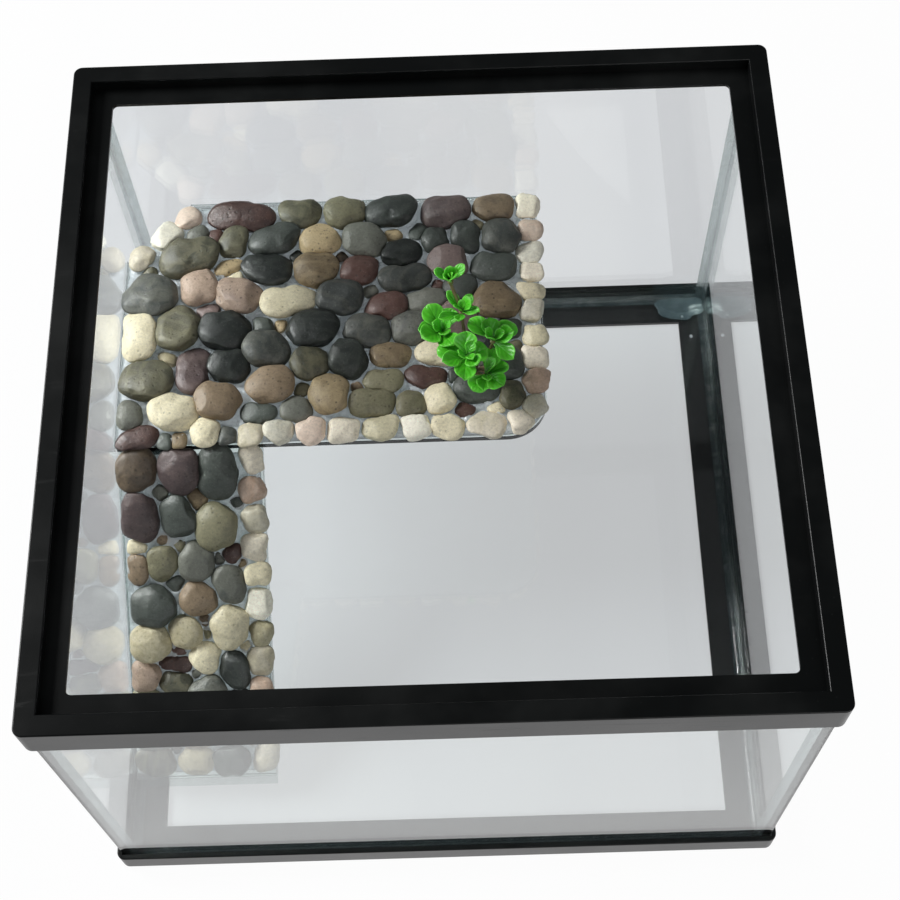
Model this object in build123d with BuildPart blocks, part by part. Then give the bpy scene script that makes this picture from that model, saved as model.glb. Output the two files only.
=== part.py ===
from build123d import *
from dataclasses import dataclass
import math
import os

# Turtle tank: a glass box in two black plastic frames, with a pebbled basking platform,
# a pebbled ramp down to the floor and a small soft plastic plant.
# Millimetres. X to the right, Y to the back, Z up. The origin is the middle of the underside.

# Outer size
tank_width = 400.0
tank_depth = 400.0
tank_height = 270.0

# Glass box
pane = 5.0
bottom_pane_thickness = 5.0
corner_seam_leg = 6.0
base_seam_leg = 5.0
seam_hollow = 1.2

# Frames
frame_wall = 3.0
bond_gap = 0.5
bond_band = 12.0
corner_radius = 5.0
top_skirt_height = 23.0
top_plate = 2.0
step_wall = 2.5
rebate_depth = 7.0
ledge_plate = 2.0
ledge_width = 11.5
aperture_radius = 3.0
edge_round = 0.8
base_height = 18.0
flange_plate = 2.5
flange_reach = 27.0

# Shelf glass
shelf_glass = 5.0
shelf_gap = 0.3
platform_length = 261.0
platform_depth = 171.5
platform_top = 136.0
platform_chamfer = 40.0
platform_corner_radius = 25.0
ramp_width = 87.0
ramp_angle = 35.0
ramp_tuck = 7.0
bead_leg = 3.5
joint_bead_reach = 5.0
bedding = 1.5
bedding_inset = 4.0

# Stones
stone_gap = 0.6
stone_rise = 0.6
stone_tallest = 14.0
stone_crown = 0.6
stone_under = 0.32
edging_inset = 6.5
edging_width = 13.0
edging_roundness = 1.1
arc_roundness = 0.9
settle_rounds = 160
neighbour_rounds = 20
neighbour_reach = 12.0
stone_squeeze = 0.2
most_trim = 0.1
stone_growth = 1.6
filler_step = 2.0
smallest_filler = 5.0
largest_filler = 12.0
most_fillers = 26

# Plant
plant_from_right = 46.0
plant_from_front = 44.0
plant_foot_radius = 5.0
plant_foot_height = 4.0
plant_foot_taper = 25.0
stem_sunk = 2.0
stem_ring = 3.2
stem_radius = 1.1
hub_radius = 2.2
hub_height = 3.0
leaf_thickness = 1.0
leaf_blade_share = 0.72
leaf_stalk_share = 0.4
leaf_stalk_width = 2.6

# Worked out from the sizes above
glass_half_x = tank_width / 2 - frame_wall - bond_gap
glass_half_y = tank_depth / 2 - frame_wall - bond_gap
inner_half_x = glass_half_x - pane
inner_half_y = glass_half_y - pane
glass_bottom = flange_plate
glass_top = tank_height - top_plate
floor_top = glass_bottom + bottom_pane_thickness
ledge_top = tank_height - rebate_depth
ledge_bottom = ledge_top - ledge_plate
rebate_half_x = inner_half_x - step_wall
rebate_half_y = inner_half_y - step_wall
aperture_half_x = rebate_half_x - ledge_width
aperture_half_y = rebate_half_y - ledge_width
platform_left = -inner_half_x + shelf_gap
platform_right = platform_left + platform_length
platform_back = inner_half_y - shelf_gap
platform_front = platform_back - platform_depth
platform_underside = platform_top - shelf_glass
bedding_top = platform_top + bedding
ramp_right = platform_left + ramp_width
slope_cos = math.cos(math.radians(ramp_angle))
slope_sin = math.sin(math.radians(ramp_angle))
ramp_top_y = platform_front + ramp_tuck
ramp_run = (platform_underside - floor_top - shelf_glass * slope_cos) / slope_sin

os.makedirs("parts", exist_ok=True)


def finish(builder, label):
    """Label a finished piece and write it."""
    builder.part.label = label
    export_step(builder.part, "parts/" + label + ".step")


# Top frame: skirt outside the glass, top plate over its edge, step wall and lid ledge inside

with BuildPart() as top_frame:
    with BuildSketch(Plane.XY.offset(tank_height - top_skirt_height)):
        RectangleRounded(tank_width, tank_depth, corner_radius)
        Rectangle(2 * (glass_half_x + bond_gap), 2 * (glass_half_y + bond_gap), mode=Mode.SUBTRACT)
    extrude(amount=top_skirt_height - top_plate)
    with BuildSketch(Plane.XY.offset(glass_top)):
        RectangleRounded(tank_width, tank_depth, corner_radius)
        Rectangle(2 * rebate_half_x, 2 * rebate_half_y, mode=Mode.SUBTRACT)
    extrude(amount=top_plate)
    with BuildSketch(Plane.XY.offset(ledge_bottom)):
        Rectangle(2 * inner_half_x, 2 * inner_half_y)
        Rectangle(2 * rebate_half_x, 2 * rebate_half_y, mode=Mode.SUBTRACT)
    extrude(amount=glass_top - ledge_bottom)
    with BuildSketch(Plane.XY.offset(ledge_bottom)):
        Rectangle(2 * inner_half_x, 2 * inner_half_y)
        RectangleRounded(2 * aperture_half_x, 2 * aperture_half_y, aperture_radius, mode=Mode.SUBTRACT)
    extrude(amount=ledge_plate)
    top_face = top_frame.faces().sort_by(Axis.Z)[-1]
    fillet(top_face.edges(), edge_round)
finish(top_frame, "top_frame")

# Base frame: a wall round the foot of the glass and a flange under the bottom pane

with BuildPart() as base_frame:
    with BuildSketch():
        RectangleRounded(tank_width, tank_depth, corner_radius)
        Rectangle(tank_width - 2 * flange_reach, tank_depth - 2 * flange_reach, mode=Mode.SUBTRACT)
    extrude(amount=flange_plate)
    with BuildSketch(Plane.XY.offset(flange_plate)):
        RectangleRounded(tank_width, tank_depth, corner_radius)
        Rectangle(2 * (glass_half_x + bond_gap), 2 * (glass_half_y + bond_gap), mode=Mode.SUBTRACT)
    extrude(amount=base_height - flange_plate)
    lip = base_frame.faces().sort_by(Axis.Z)[-1]
    fillet(lip.outer_wire().edges(), edge_round)
finish(base_frame, "base_frame")

# Silicone bond between each frame and the glass

for bond_label, bond_bottom in (
    ("top_frame_bond", tank_height - top_skirt_height + bond_gap),
    ("base_frame_bond", flange_plate),
):
    with BuildPart() as frame_bond:
        with BuildSketch(Plane.XY.offset(bond_bottom)):
            Rectangle(2 * (glass_half_x + bond_gap), 2 * (glass_half_y + bond_gap))
            Rectangle(2 * glass_half_x, 2 * glass_half_y, mode=Mode.SUBTRACT)
        extrude(amount=bond_band)
    finish(frame_bond, bond_label)

# Glass panes

with BuildPart() as bottom_pane:
    with BuildSketch(Plane.XY.offset(glass_bottom)):
        Rectangle(2 * inner_half_x, 2 * inner_half_y)
    extrude(amount=bottom_pane_thickness)
finish(bottom_pane, "bottom_pane")

for pane_label, side in (("front_pane", -1), ("back_pane", 1)):
    with BuildPart() as long_pane:
        with BuildSketch(Plane.XY.offset(glass_bottom)):
            with Locations((0, side * (inner_half_y + pane / 2))):
                Rectangle(2 * glass_half_x, pane)
        extrude(amount=glass_top - glass_bottom)
    finish(long_pane, pane_label)

for pane_label, side in (("left_pane", -1), ("right_pane", 1)):
    with BuildPart() as side_pane:
        with BuildSketch(Plane.XY.offset(glass_bottom)):
            with Locations((side * (inner_half_x + pane / 2), 0)):
                Rectangle(pane, 2 * inner_half_y)
        extrude(amount=glass_top - glass_bottom)
    finish(side_pane, pane_label)

# Platform and ramp glass


def platform_outline():
    """Plan of the platform: a rectangle with one corner cut off and one rounded."""
    with BuildSketch() as outline:
        with BuildLine():
            Polyline(
                (platform_left, platform_front),
                (platform_right, platform_front),
                (platform_right, platform_back),
                (platform_left + platform_chamfer, platform_back),
                (platform_left, platform_back - platform_chamfer),
                close=True,
            )
        make_face()
        right_front = outline.vertices().group_by(Axis.Y)[0].sort_by(Axis.X)[-1]
        fillet(right_front, platform_corner_radius)
    return outline.sketch


with BuildPart() as platform_glass:
    with BuildSketch(Plane.XY.offset(platform_underside)):
        add(platform_outline())
    extrude(amount=shelf_glass)
finish(platform_glass, "platform_glass")

# The ramp's own plane: X across the tank, Y down the slope, Z out of its upper face
slope_start = Vector(0, ramp_top_y, platform_underside)
slope_down = Vector(0, -slope_cos, -slope_sin)
slope_up_face = Vector(0, -slope_sin, slope_cos)
ramp_plane = Plane(origin=slope_start, x_dir=(-1, 0, 0), z_dir=slope_up_face)


def ramp_level(height):
    """The ramp's plane raised above its upper face."""
    return ramp_plane.offset(height)


def slope_point(reach, height):
    """Side view point (y, z) that lies this far down the slope and above its upper face."""
    spot = slope_start + slope_down * reach + slope_up_face * height
    return (spot.Y, spot.Z)


ramp_middle_x = -(platform_left + ramp_right) / 2
with BuildPart() as ramp_glass:
    with BuildSketch(ramp_level(-shelf_glass)):
        with Locations((ramp_middle_x, ramp_run / 2)):
            Rectangle(ramp_width, ramp_run)
    extrude(amount=shelf_glass)
finish(ramp_glass, "ramp_glass")

# Silicone seams in the corners of the glass box


def seam_section(leg):
    """Section of a silicone seam in a corner that opens to the right and up, with a hollow face."""
    with BuildSketch() as section:
        with BuildLine():
            Polyline((0, leg), (0, 0), (leg, 0))
            RadiusArc((leg, 0), (0, leg), leg * seam_hollow)
        make_face()
    return section.sketch


corner_turns = {
    "seam_front_left": (-1, -1, 0),
    "seam_front_right": (1, -1, 90),
    "seam_back_right": (1, 1, 180),
    "seam_back_left": (-1, 1, 270),
}
for seam_label, (side_x, side_y, turn) in corner_turns.items():
    corner = Plane(
        origin=(side_x * inner_half_x, side_y * inner_half_y, floor_top),
        x_dir=Vector(1, 0, 0).rotate(Axis.Z, turn),
        z_dir=(0, 0, 1),
    )
    with BuildPart() as corner_seam:
        with BuildSketch(corner):
            add(seam_section(corner_seam_leg))
        extrude(amount=ledge_bottom - floor_top)
    finish(corner_seam, seam_label)

base_runs = {
    "base_seam_front": (0, -1, 2 * (inner_half_x - corner_seam_leg)),
    "base_seam_back": (0, 1, 2 * (inner_half_x - corner_seam_leg)),
    "base_seam_left": (-1, 0, 2 * (inner_half_y - corner_seam_leg)),
    "base_seam_right": (1, 0, 2 * (inner_half_y - corner_seam_leg)),
}
for seam_label, (side_x, side_y, run) in base_runs.items():
    inward = Vector(-side_x, -side_y, 0)
    along = inward.cross(Vector(0, 0, 1))
    start = Vector(side_x * inner_half_x, side_y * inner_half_y, floor_top) - along * (run / 2)
    with BuildPart() as base_seam:
        with BuildSketch(Plane(origin=start, x_dir=inward, z_dir=along)):
            add(seam_section(base_seam_leg))
        extrude(amount=run)
        add(ramp_glass.part, mode=Mode.SUBTRACT)
    finish(base_seam, seam_label)

# Silicone beads that hold the platform and the ramp

bead_end = platform_back - platform_chamfer
with BuildPart() as platform_left_bead:
    with BuildSketch(Plane((-inner_half_x, platform_front, platform_top), x_dir=(1, 0, 0), z_dir=(0, -1, 0))):
        add(seam_section(bead_leg))
    extrude(amount=-(bead_end - platform_front))
finish(platform_left_bead, "platform_left_bead")

back_bead_start = platform_left + platform_chamfer
with BuildPart() as platform_back_bead:
    with BuildSketch(Plane((back_bead_start, inner_half_y, platform_top), x_dir=(0, -1, 0), z_dir=(-1, 0, 0))):
        add(seam_section(bead_leg))
    extrude(amount=-(platform_right - back_bead_start))
finish(platform_back_bead, "platform_back_bead")

ramp_bead_start = shelf_glass + bead_leg
bead_start = slope_start + slope_down * ramp_bead_start + Vector(-inner_half_x, 0, 0)
with BuildPart() as ramp_left_bead:
    with BuildSketch(Plane(origin=bead_start, x_dir=(1, 0, 0), z_dir=slope_down)):
        add(seam_section(bead_leg))
    extrude(amount=ramp_run - ramp_bead_start - 2 * base_seam_leg)
finish(ramp_left_bead, "ramp_left_bead")

# The joint beads are wedges: behind the ramp's top edge and in front of its foot
ramp_back_lower = slope_point(0, -shelf_glass)
foot_upper = slope_point(ramp_run, 0)
foot_lower = slope_point(ramp_run, -shelf_glass)
joint_wedges = {
    "ramp_top_bead": (
        (ramp_top_y, platform_underside),
        ramp_back_lower,
        (ramp_back_lower[0] + joint_bead_reach, platform_underside),
    ),
    "ramp_foot_bead": (foot_lower, foot_upper, (foot_upper[0] - joint_bead_reach, floor_top)),
}
for bead_label, wedge in joint_wedges.items():
    with BuildPart() as joint_bead:
        with BuildSketch(Plane.YZ.offset(platform_left + base_seam_leg)):
            with BuildLine():
                Polyline(*wedge, close=True)
            make_face()
        extrude(amount=ramp_width - base_seam_leg)
    finish(joint_bead, bead_label)

# Clear silicone bedding under the stones

with BuildPart() as platform_bedding:
    with BuildSketch(Plane.XY.offset(platform_top)):
        add(platform_outline())
        offset(amount=-bedding_inset)
    extrude(amount=bedding)
finish(platform_bedding, "platform_bedding")

bedding_run = ramp_run - ramp_bead_start - bedding_inset
with BuildPart() as ramp_bedding:
    with BuildSketch(ramp_level(0)):
        with Locations((ramp_middle_x, ramp_bead_start + bedding_run / 2)):
            Rectangle(ramp_width - 2 * bedding_inset, bedding_run)
    extrude(amount=bedding)
finish(ramp_bedding, "ramp_bedding")

# Stones


@dataclass
class Stone:
    """A pebble in plan: its tone, middle, size and turn in degrees."""

    tone: str
    x: float
    y: float
    length: float
    width: float
    turn: float
    held: bool = False

    def core(self):
        """Ends of the line that the pebble's rounded outline is drawn about."""
        half = max(self.length - self.width, 0.0) / 2
        across = half * math.cos(math.radians(self.turn))
        up = half * math.sin(math.radians(self.turn))
        return (self.x - across, self.y - up), (self.x + across, self.y + up)


def pebble_at(tone, x, y, along, across, turn=0.0, held=False):
    """A pebble given by its size along X and across it, before its turn."""
    if along >= across:
        return Stone(tone, x, y, along, across, turn, held)
    return Stone(tone, x, y, across, along, turn + 90.0, held)


def nearest_on(point, line):
    """The point of a line between two ends that is nearest to a point."""
    (x0, y0), (x1, y1) = line
    dx = x1 - x0
    dy = y1 - y0
    size = dx * dx + dy * dy
    share = 0.0
    if size > 0:
        share = ((point[0] - x0) * dx + (point[1] - y0) * dy) / size
    share = min(max(share, 0.0), 1.0)
    return (x0 + share * dx, y0 + share * dy)


def closest_pair(first, second):
    """The closest two points of two stones' cores."""
    a = first.core()
    b = second.core()
    pairs = [(end, nearest_on(end, b)) for end in a] + [(nearest_on(end, a), end) for end in b]
    return min(pairs, key=lambda pair: math.dist(*pair))


def crowding(first, second):
    """How much two stones are short of their gap, and the direction from one to the other."""
    here, there = closest_pair(first, second)
    away = math.dist(here, there)
    short = (first.width + second.width) / 2 + stone_gap - away
    if away == 0:
        return short, (1.0, 0.0)
    return short, ((there[0] - here[0]) / away, (there[1] - here[1]) / away)


def over_edge(stone, edge):
    """How far a stone is over an edge, given as its outward direction and its distance."""
    nx, ny, reach = edge
    return max(nx * x + ny * y for x, y in stone.core()) + stone.width / 2 - reach


def neighbours(stones):
    """Pairs of stones near enough to meet."""
    pairs = []
    for i, first in enumerate(stones):
        for second in stones[i + 1 :]:
            reach = (first.length + second.length) / 2 + neighbour_reach
            if math.hypot(first.x - second.x, first.y - second.y) < reach:
                pairs.append((first, second))
    return pairs


def settle(stones, edges):
    """Push crowded stones apart until they lie side by side, then trim what still meets."""
    for step in range(settle_rounds):
        if step % neighbour_rounds == 0:
            pairs = neighbours(stones)
        for first, second in pairs:
            short, (dx, dy) = crowding(first, second)
            if short <= 0:
                continue
            free = (not first.held) + (not second.held)
            if free == 0:
                continue
            if not first.held:
                first.x -= dx * short / free
                first.y -= dy * short / free
            if not second.held:
                second.x += dx * short / free
                second.y += dy * short / free
        for stone in stones:
            if stone.held:
                continue
            for edge in edges:
                over = over_edge(stone, edge)
                if over > 0:
                    stone.x -= edge[0] * over
                    stone.y -= edge[1] * over
    pairs = neighbours(stones)
    crowded = True
    while crowded:
        crowded = False
        for first, second in pairs:
            short, _ = crowding(first, second)
            if short > stone_squeeze:
                crowded = True
                for stone in (first, second):
                    trim(stone, short)
        for stone in stones:
            over = max([over_edge(stone, edge) for edge in edges], default=0.0)
            if over > stone_squeeze and not stone.held:
                crowded = True
                trim(stone, over)
    return stones


def trim(stone, short):
    """Make a stone smaller by about the amount that it is short of room."""
    share = 1 - min(short / (stone.length + stone.width), most_trim)
    stone.length *= share
    stone.width *= share


def room(x, y, stones, edges):
    """How far a point is from the nearest stone's outline or edge."""
    to_stones = min(math.dist((x, y), nearest_on((x, y), stone.core())) - stone.width / 2 for stone in stones)
    to_edges = min(reach - nx * x - ny * y for nx, ny, reach in edges)
    return min(to_stones, to_edges)


def swell(stones, edges):
    """Let each loose stone grow into the room round it."""
    pairs = neighbours(stones)
    for stone in stones:
        if stone.held:
            continue
        spare = [-crowding(first, second)[0] for first, second in pairs if stone in (first, second)]
        spare += [-over_edge(stone, edge) for edge in edges]
        growth = min(max(min(spare), 0.0), stone_growth)
        stone.length += 2 * growth
        stone.width += 2 * growth
    return stones


def fill_gaps(tones, stones, edges, left, right, front, back):
    """Small round pebbles in the widest gaps of a field, widest first."""
    rooms = {}
    for column in range(int((right - left) / filler_step) + 1):
        for row in range(int((back - front) / filler_step) + 1):
            spot = (left + column * filler_step, front + row * filler_step)
            rooms[spot] = room(*spot, stones, edges)
    fillers = []
    while len(fillers) < most_fillers:
        widest = max(rooms, key=rooms.get)
        size = min(2 * (rooms[widest] - stone_gap), largest_filler)
        if size < smallest_filler:
            break
        fillers.append(pebble_at(tones[len(fillers) % len(tones)], *widest, size, size))
        for spot in rooms:
            rooms[spot] = min(rooms[spot], math.dist(spot, widest) - size / 2)
    return fillers


def lay_course(course, start, end, middle_y):
    """Stones of one course side by side; a tone of None leaves a space."""
    total = sum(entry[1] for entry in course)
    stretch = (end - start) / total
    x = start
    laid = []
    for tone, along, across, turn in course:
        if tone is not None:
            laid.append(pebble_at(tone, x + along * stretch / 2, middle_y, along, across, turn))
        x += along * stretch
    return laid


def pebble_solid(stone, plane):
    """A pebble lying on a plane: a rounded outline, well rounded above and less below."""
    rise = min(stone.width * stone_rise, stone_tallest)
    seat = Plane(plane.location * Pos(stone.x, stone.y, 0) * Rot(Z=stone.turn))
    with BuildPart() as pebble:
        with BuildSketch(seat):
            if stone.length - stone.width > stone_gap:
                SlotOverall(stone.length, stone.width)
            else:
                Circle(stone.width / 2)
        extrude(amount=rise)
        levels = pebble.faces().sort_by(Axis(seat.origin, seat.z_dir))
        crown_edges = levels[-1].edges()
        foot_edges = levels[0].edges()
        fillet(crown_edges, rise * stone_crown)
        fillet(foot_edges, rise * stone_under)
    return pebble.part.solid()


def write_stones(stones, plane, label):
    """One node of separate pebbles."""
    pebbles = [pebble_solid(stone, plane) for stone in stones]
    with BuildPart() as group:
        add(pebbles)
    finish(group, label)


# Edging: pale stones in a row along the free edges of the platform and the ramp

side_edging = [
    ("cream", 18), ("tan", 17), ("cream", 17), ("tan", 13), ("cream", 14), ("cream", 17),
    ("cream", 16), ("olive", 16), ("cream", 18),
]
corner_edging = [("tan", 14), ("cream", 15)]
front_edging = [
    ("pink", 24), ("cream", 20), ("cream", 19), ("cream", 22), ("cream", 20), ("tan", 18),
    ("tan", 19), ("cream", 15),
]
chamfer_edging = [("tan", 15), ("cream", 20), ("cream", 15)]
ramp_edging = [
    ("cream", 15), ("tan", 14), ("cream", 16), ("olive", 16), ("tan", 14), ("tan", 17),
    ("cream", 14), ("cream", 17), ("cream", 18), ("tan", 15), ("cream", 17),
]


def lay_row(entries, start, end, side=1.0):
    """Edging stones in a straight row from one point to another."""
    run = math.dist(start, end)
    total = sum(length for _, length in entries)
    turn = math.degrees(math.atan2(end[1] - start[1], end[0] - start[0]))
    laid = []
    done = 0.0
    for tone, length in entries:
        share = (done + length / 2) / total
        x = start[0] + (end[0] - start[0]) * share
        y = start[1] + (end[1] - start[1]) * share
        size = length * run / total - stone_gap
        laid.append(pebble_at(tone, x, y, size, min(edging_width, size * edging_roundness), turn, held=True))
        done += length
    return laid


def lay_arc(entries, middle, radius, first, last):
    """Edging stones round a corner, from one angle to another."""
    laid = []
    step = (last - first) / len(entries)
    for place, (tone, _) in enumerate(entries):
        angle = first + step * (place + 0.5)
        x = middle[0] + radius * math.cos(math.radians(angle))
        y = middle[1] + radius * math.sin(math.radians(angle))
        size = math.radians(abs(step)) * radius - stone_gap
        laid.append(pebble_at(tone, x, y, size, min(edging_width, size * arc_roundness), angle + 90, held=True))
    return laid


row_right_x = platform_right - edging_inset
row_front_y = platform_front + edging_inset
arc_middle = (platform_right - platform_corner_radius, platform_front + platform_corner_radius)
arc_radius = platform_corner_radius - edging_inset
ramp_row_x = ramp_right - edging_inset
chamfer_inset = edging_inset * math.sqrt(0.5)
chamfer_start = (platform_left + chamfer_inset, platform_back - platform_chamfer - chamfer_inset)
chamfer_end = (platform_left + platform_chamfer + chamfer_inset, platform_back - chamfer_inset)
right_row = lay_row(side_edging, (row_right_x, platform_back - stone_gap), (row_right_x, arc_middle[1]))
corner_row = lay_arc(corner_edging, arc_middle, arc_radius, 0, -90)
front_row = lay_row(front_edging, (arc_middle[0], row_front_y), (ramp_right - edging_width, row_front_y))
chamfer_row = lay_row(chamfer_edging, chamfer_start, chamfer_end)
free_edge_rows = right_row + corner_row + front_row

# Field of the platform, course by course from the back: tone, size along X, size across, turn

platform_courses = [
    [("maroon", 50, 18, -4), ("olive", 30, 19, 0), ("olive", 28, 22, 8), ("charcoal", 36, 22, 0),
     ("plum", 34, 22, 5), ("brown", 28, 18, 4)],
    [("olive", 42, 23, 14), ("olive", 17, 22, -25), ("charcoal", 32, 20, 10), ("tan", 27, 21, 0),
     ("slate", 28, 22, 0), ("charcoal", 27, 19, 20), ("charcoal", 8, 15, -20), ("charcoal", 18, 17, 0),
     ("charcoal", 19, 20, 0), ("slate", 24, 25, 0)],
    [("pink", 25, 24, 0), ("tan", 16, 8, 25), ("charcoal", 32, 20, -6), ("tan", 29, 22, 0),
     ("maroon", 21, 18, 0), ("slate", 35, 18, 5), ("plum", 25, 21, 0), ("charcoal", 31, 17, -12)],
    [("slate", 34, 30, 0), ("plum", 15, 9, 0), ("pink", 28, 24, -10), ("cream", 34, 20, 12),
     ("slate", 28, 23, -15), ("maroon", 27, 17, 6), ("slate", 25, 18, 0), ("charcoal", 22, 15, 10),
     ("tan", 31, 23, 0)],
    [("cream", 21, 33, 0), ("olive", 26, 31, -12), ("charcoal", 32, 28, 0), ("charcoal", 34, 26, 0),
     ("slate", 31, 20, -12), ("slate", 28, 20, 14), ("plum", 26, 24, 0), ("charcoal", 20, 15, 0),
     ("charcoal", 16, 14, 0)],
    [("plum", 18, 34, -10), ("charcoal", 26, 21, 0), ("slate", 28, 22, 0), ("olive", 25, 21, 0),
     ("charcoal", 24, 24, 0), ("tan", 26, 16, 4), ("cream", 24, 18, 0), (None, 30, 0, 0),
     ("charcoal", 20, 19, 0)],
    [("olive", 31, 29, 0), ("cream", 28, 22, 0), ("brown", 26, 25, 0), ("brown", 28, 24, 8),
     ("tan", 24, 26, 0), ("olive", 26, 15, 6), ("maroon", 26, 12, 0), ("cream", 18, 21, 20),
     ("charcoal", 29, 17, 0), ("olive", 14, 18, 0)],
    [("slate", 14, 19, 0), ("maroon", 24, 10, 14), ("cream", 17, 16, 0), (None, 26, 0, 0),
     ("charcoal", 24, 11, 0), ("slate", 20, 15, 0), (None, 22, 0, 0), ("olive", 28, 17, 0),
     ("olive", 18, 15, 0), (None, 48, 0, 0)],
]
course_starts = [45.0, 16.0, 30.0, 0.0, 0.0, 22.0, 0.0, 0.0]
field_end = row_right_x - edging_width / 2
field_back = platform_back
field_front = platform_front + stone_gap


def lay_field(courses, starts, left, right, back, front):
    """All courses of a field, spread evenly from its back to its front."""
    depths = [max(entry[2] for entry in course) for course in courses]
    pitch = (back - front) / sum(depths)
    y = back
    laid = []
    for course, start, depth in zip(courses, starts, depths):
        laid += lay_course(course, left + start, right, y - depth * pitch / 2)
        y -= depth * pitch
    return laid


plant_x = platform_right - plant_from_right
plant_y = platform_front + plant_from_front
plant_spot = Stone("plant", plant_x, plant_y, 2 * plant_foot_radius, 2 * plant_foot_radius, 0, held=True)
platform_field = lay_field(
    platform_courses, course_starts, platform_left + stone_gap, field_end, field_back, field_front
)
chamfer_reach = (platform_back - platform_left - platform_chamfer) * math.sqrt(0.5)
platform_edges = [
    (-1.0, 0.0, -platform_left - stone_gap),
    (0.0, 1.0, platform_back - stone_gap),
    (0.0, -1.0, -field_front),
    (1.0, 0.0, platform_right),
    (-math.sqrt(0.5), math.sqrt(0.5), chamfer_reach),
]
platform_stones = settle(platform_field + free_edge_rows + chamfer_row + [plant_spot], platform_edges)
swell(platform_stones, platform_edges)
filler_tones = ["charcoal", "tan", "slate", "maroon", "cream", "olive"]
platform_fillers = fill_gaps(
    filler_tones,
    platform_stones,
    platform_edges,
    platform_left + 2 * bedding_inset,
    field_end,
    field_front,
    platform_back - 2 * bedding_inset,
)

# Field of the ramp, course by course down the slope, as seen from above its face

ramp_courses = [
    [("brown", 24, 26, 0), ("plum", 26, 27, 0), ("charcoal", 24, 32, 0)],
    [("plum", 24, 34, 6), ("charcoal", 22, 30, 14), ("olive", 28, 34, -8)],
    [("brown", 18, 28, 0), ("olive", 24, 31, 0), ("slate", 22, 27, 0), ("slate", 20, 29, 8)],
    [("charcoal", 26, 23, 0), ("brown", 26, 22, 0), ("cream", 22, 26, 0)],
    [("cream", 26, 25, 0), ("cream", 20, 22, 0), ("cream", 20, 22, 0), ("charcoal", 18, 28, 12)],
    [("pink", 17, 18, 0), ("maroon", 25, 10, -12), ("slate", 22, 24, 0)],
    [("olive", 19, 15, 0), ("olive", 23, 15, 0), ("tan", 18, 19, 0), ("charcoal", 14, 14, 0)],
    [("charcoal", 26, 20, 0), ("tan", 22, 18, 0), ("slate", 23, 20, 0)],
    [("olive", 24, 17, 0), ("cream", 22, 16, 0), ("charcoal", 24, 18, 0)],
]
ramp_starts = [0.0] * len(ramp_courses)
ramp_field_start = shelf_glass + 2 * stone_gap
ramp_field_end = ramp_run - bead_leg
ramp_row = lay_row(ramp_edging, (-ramp_row_x, ramp_field_start), (-ramp_row_x, ramp_field_end))
ramp_field = lay_field(
    ramp_courses,
    ramp_starts,
    -platform_left - stone_gap,
    -ramp_row_x + edging_width / 2,
    ramp_field_start,
    ramp_field_end,
)
ramp_edges = [
    (1.0, 0.0, -platform_left - stone_gap),
    (0.0, -1.0, -ramp_field_start),
    (0.0, 1.0, ramp_field_end),
]
ramp_stones = settle(ramp_field + ramp_row, ramp_edges)
swell(ramp_stones, ramp_edges)
ramp_fillers = fill_gaps(
    filler_tones,
    ramp_stones,
    ramp_edges,
    -ramp_row_x,
    -platform_left - 2 * bedding_inset,
    ramp_bead_start + bedding_inset,
    ramp_field_end - 2 * bedding_inset,
)

bedding_plane = Plane.XY.offset(bedding_top)
write_stones(right_row + corner_row, bedding_plane, "platform_side_edging")
write_stones(front_row, bedding_plane, "platform_front_edging")
write_stones(chamfer_row, bedding_plane, "platform_corner_edging")
write_stones(ramp_row, ramp_level(bedding), "ramp_edging")

write_stones(platform_fillers, bedding_plane, "platform_small_stones")
write_stones(ramp_fillers, ramp_level(bedding), "ramp_small_stones")

field_tones = ["charcoal", "slate", "olive", "brown", "plum", "maroon", "pink", "tan", "cream"]
for tone in field_tones:
    laid_here = [stone for stone in platform_field if stone.tone == tone]
    write_stones(laid_here, bedding_plane, "platform_" + tone + "_stones")
    laid_here = [stone for stone in ramp_field if stone.tone == tone]
    write_stones(laid_here, ramp_level(bedding), "ramp_" + tone + "_stones")

# Plant: a foot in the bedding with stems, and a whorl of spoon leaves on each stem's hub


@dataclass
class Whorl:
    """A whorl's place from the plant's foot, its leaves' size and how they spread."""

    label: str
    right: float
    back: float
    up: float
    leaf_length: float
    leaf_width: float
    bearings: tuple
    lift: float
    grows_from: str = "foot"

    def middle(self):
        """Middle of the whorl's hub."""
        return Vector(plant_x + self.right, plant_y + self.back, bedding_top + self.up)


whorls = [
    Whorl("plant_upper_whorl", -4, 15, 46, 12, 9, (20, 150, 260), 40),
    Whorl("plant_top_whorl", -10, 27, 61, 12, 9, (60, 130, 215, 300), 50, "plant_upper_whorl"),
    Whorl("plant_left_whorl", -16, 7, 36, 15, 13, (120, 180, 245), 22),
    Whorl("plant_front_whorl", -2, -13, 42, 14, 12, (95, 190, 250, 320), 24),
    Whorl("plant_right_whorl", 14, 2, 33, 14, 12, (-20, 35, 90), 30),
    Whorl("plant_low_whorl", 9, -14, 21, 13, 11, (-100, -45, 10), 14),
]
whorl_named = {whorl.label: whorl for whorl in whorls}


def stem_start(whorl):
    """Where a whorl's stem leaves the foot, or the top of the hub that it grows from."""
    if whorl.grows_from in whorl_named:
        return whorl_named[whorl.grows_from].middle() + Vector(0, 0, hub_height / 2)
    outward = Vector(whorl.right, whorl.back, 0).normalized()
    return Vector(plant_x, plant_y, bedding_top + stem_sunk) + outward * stem_ring


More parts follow.
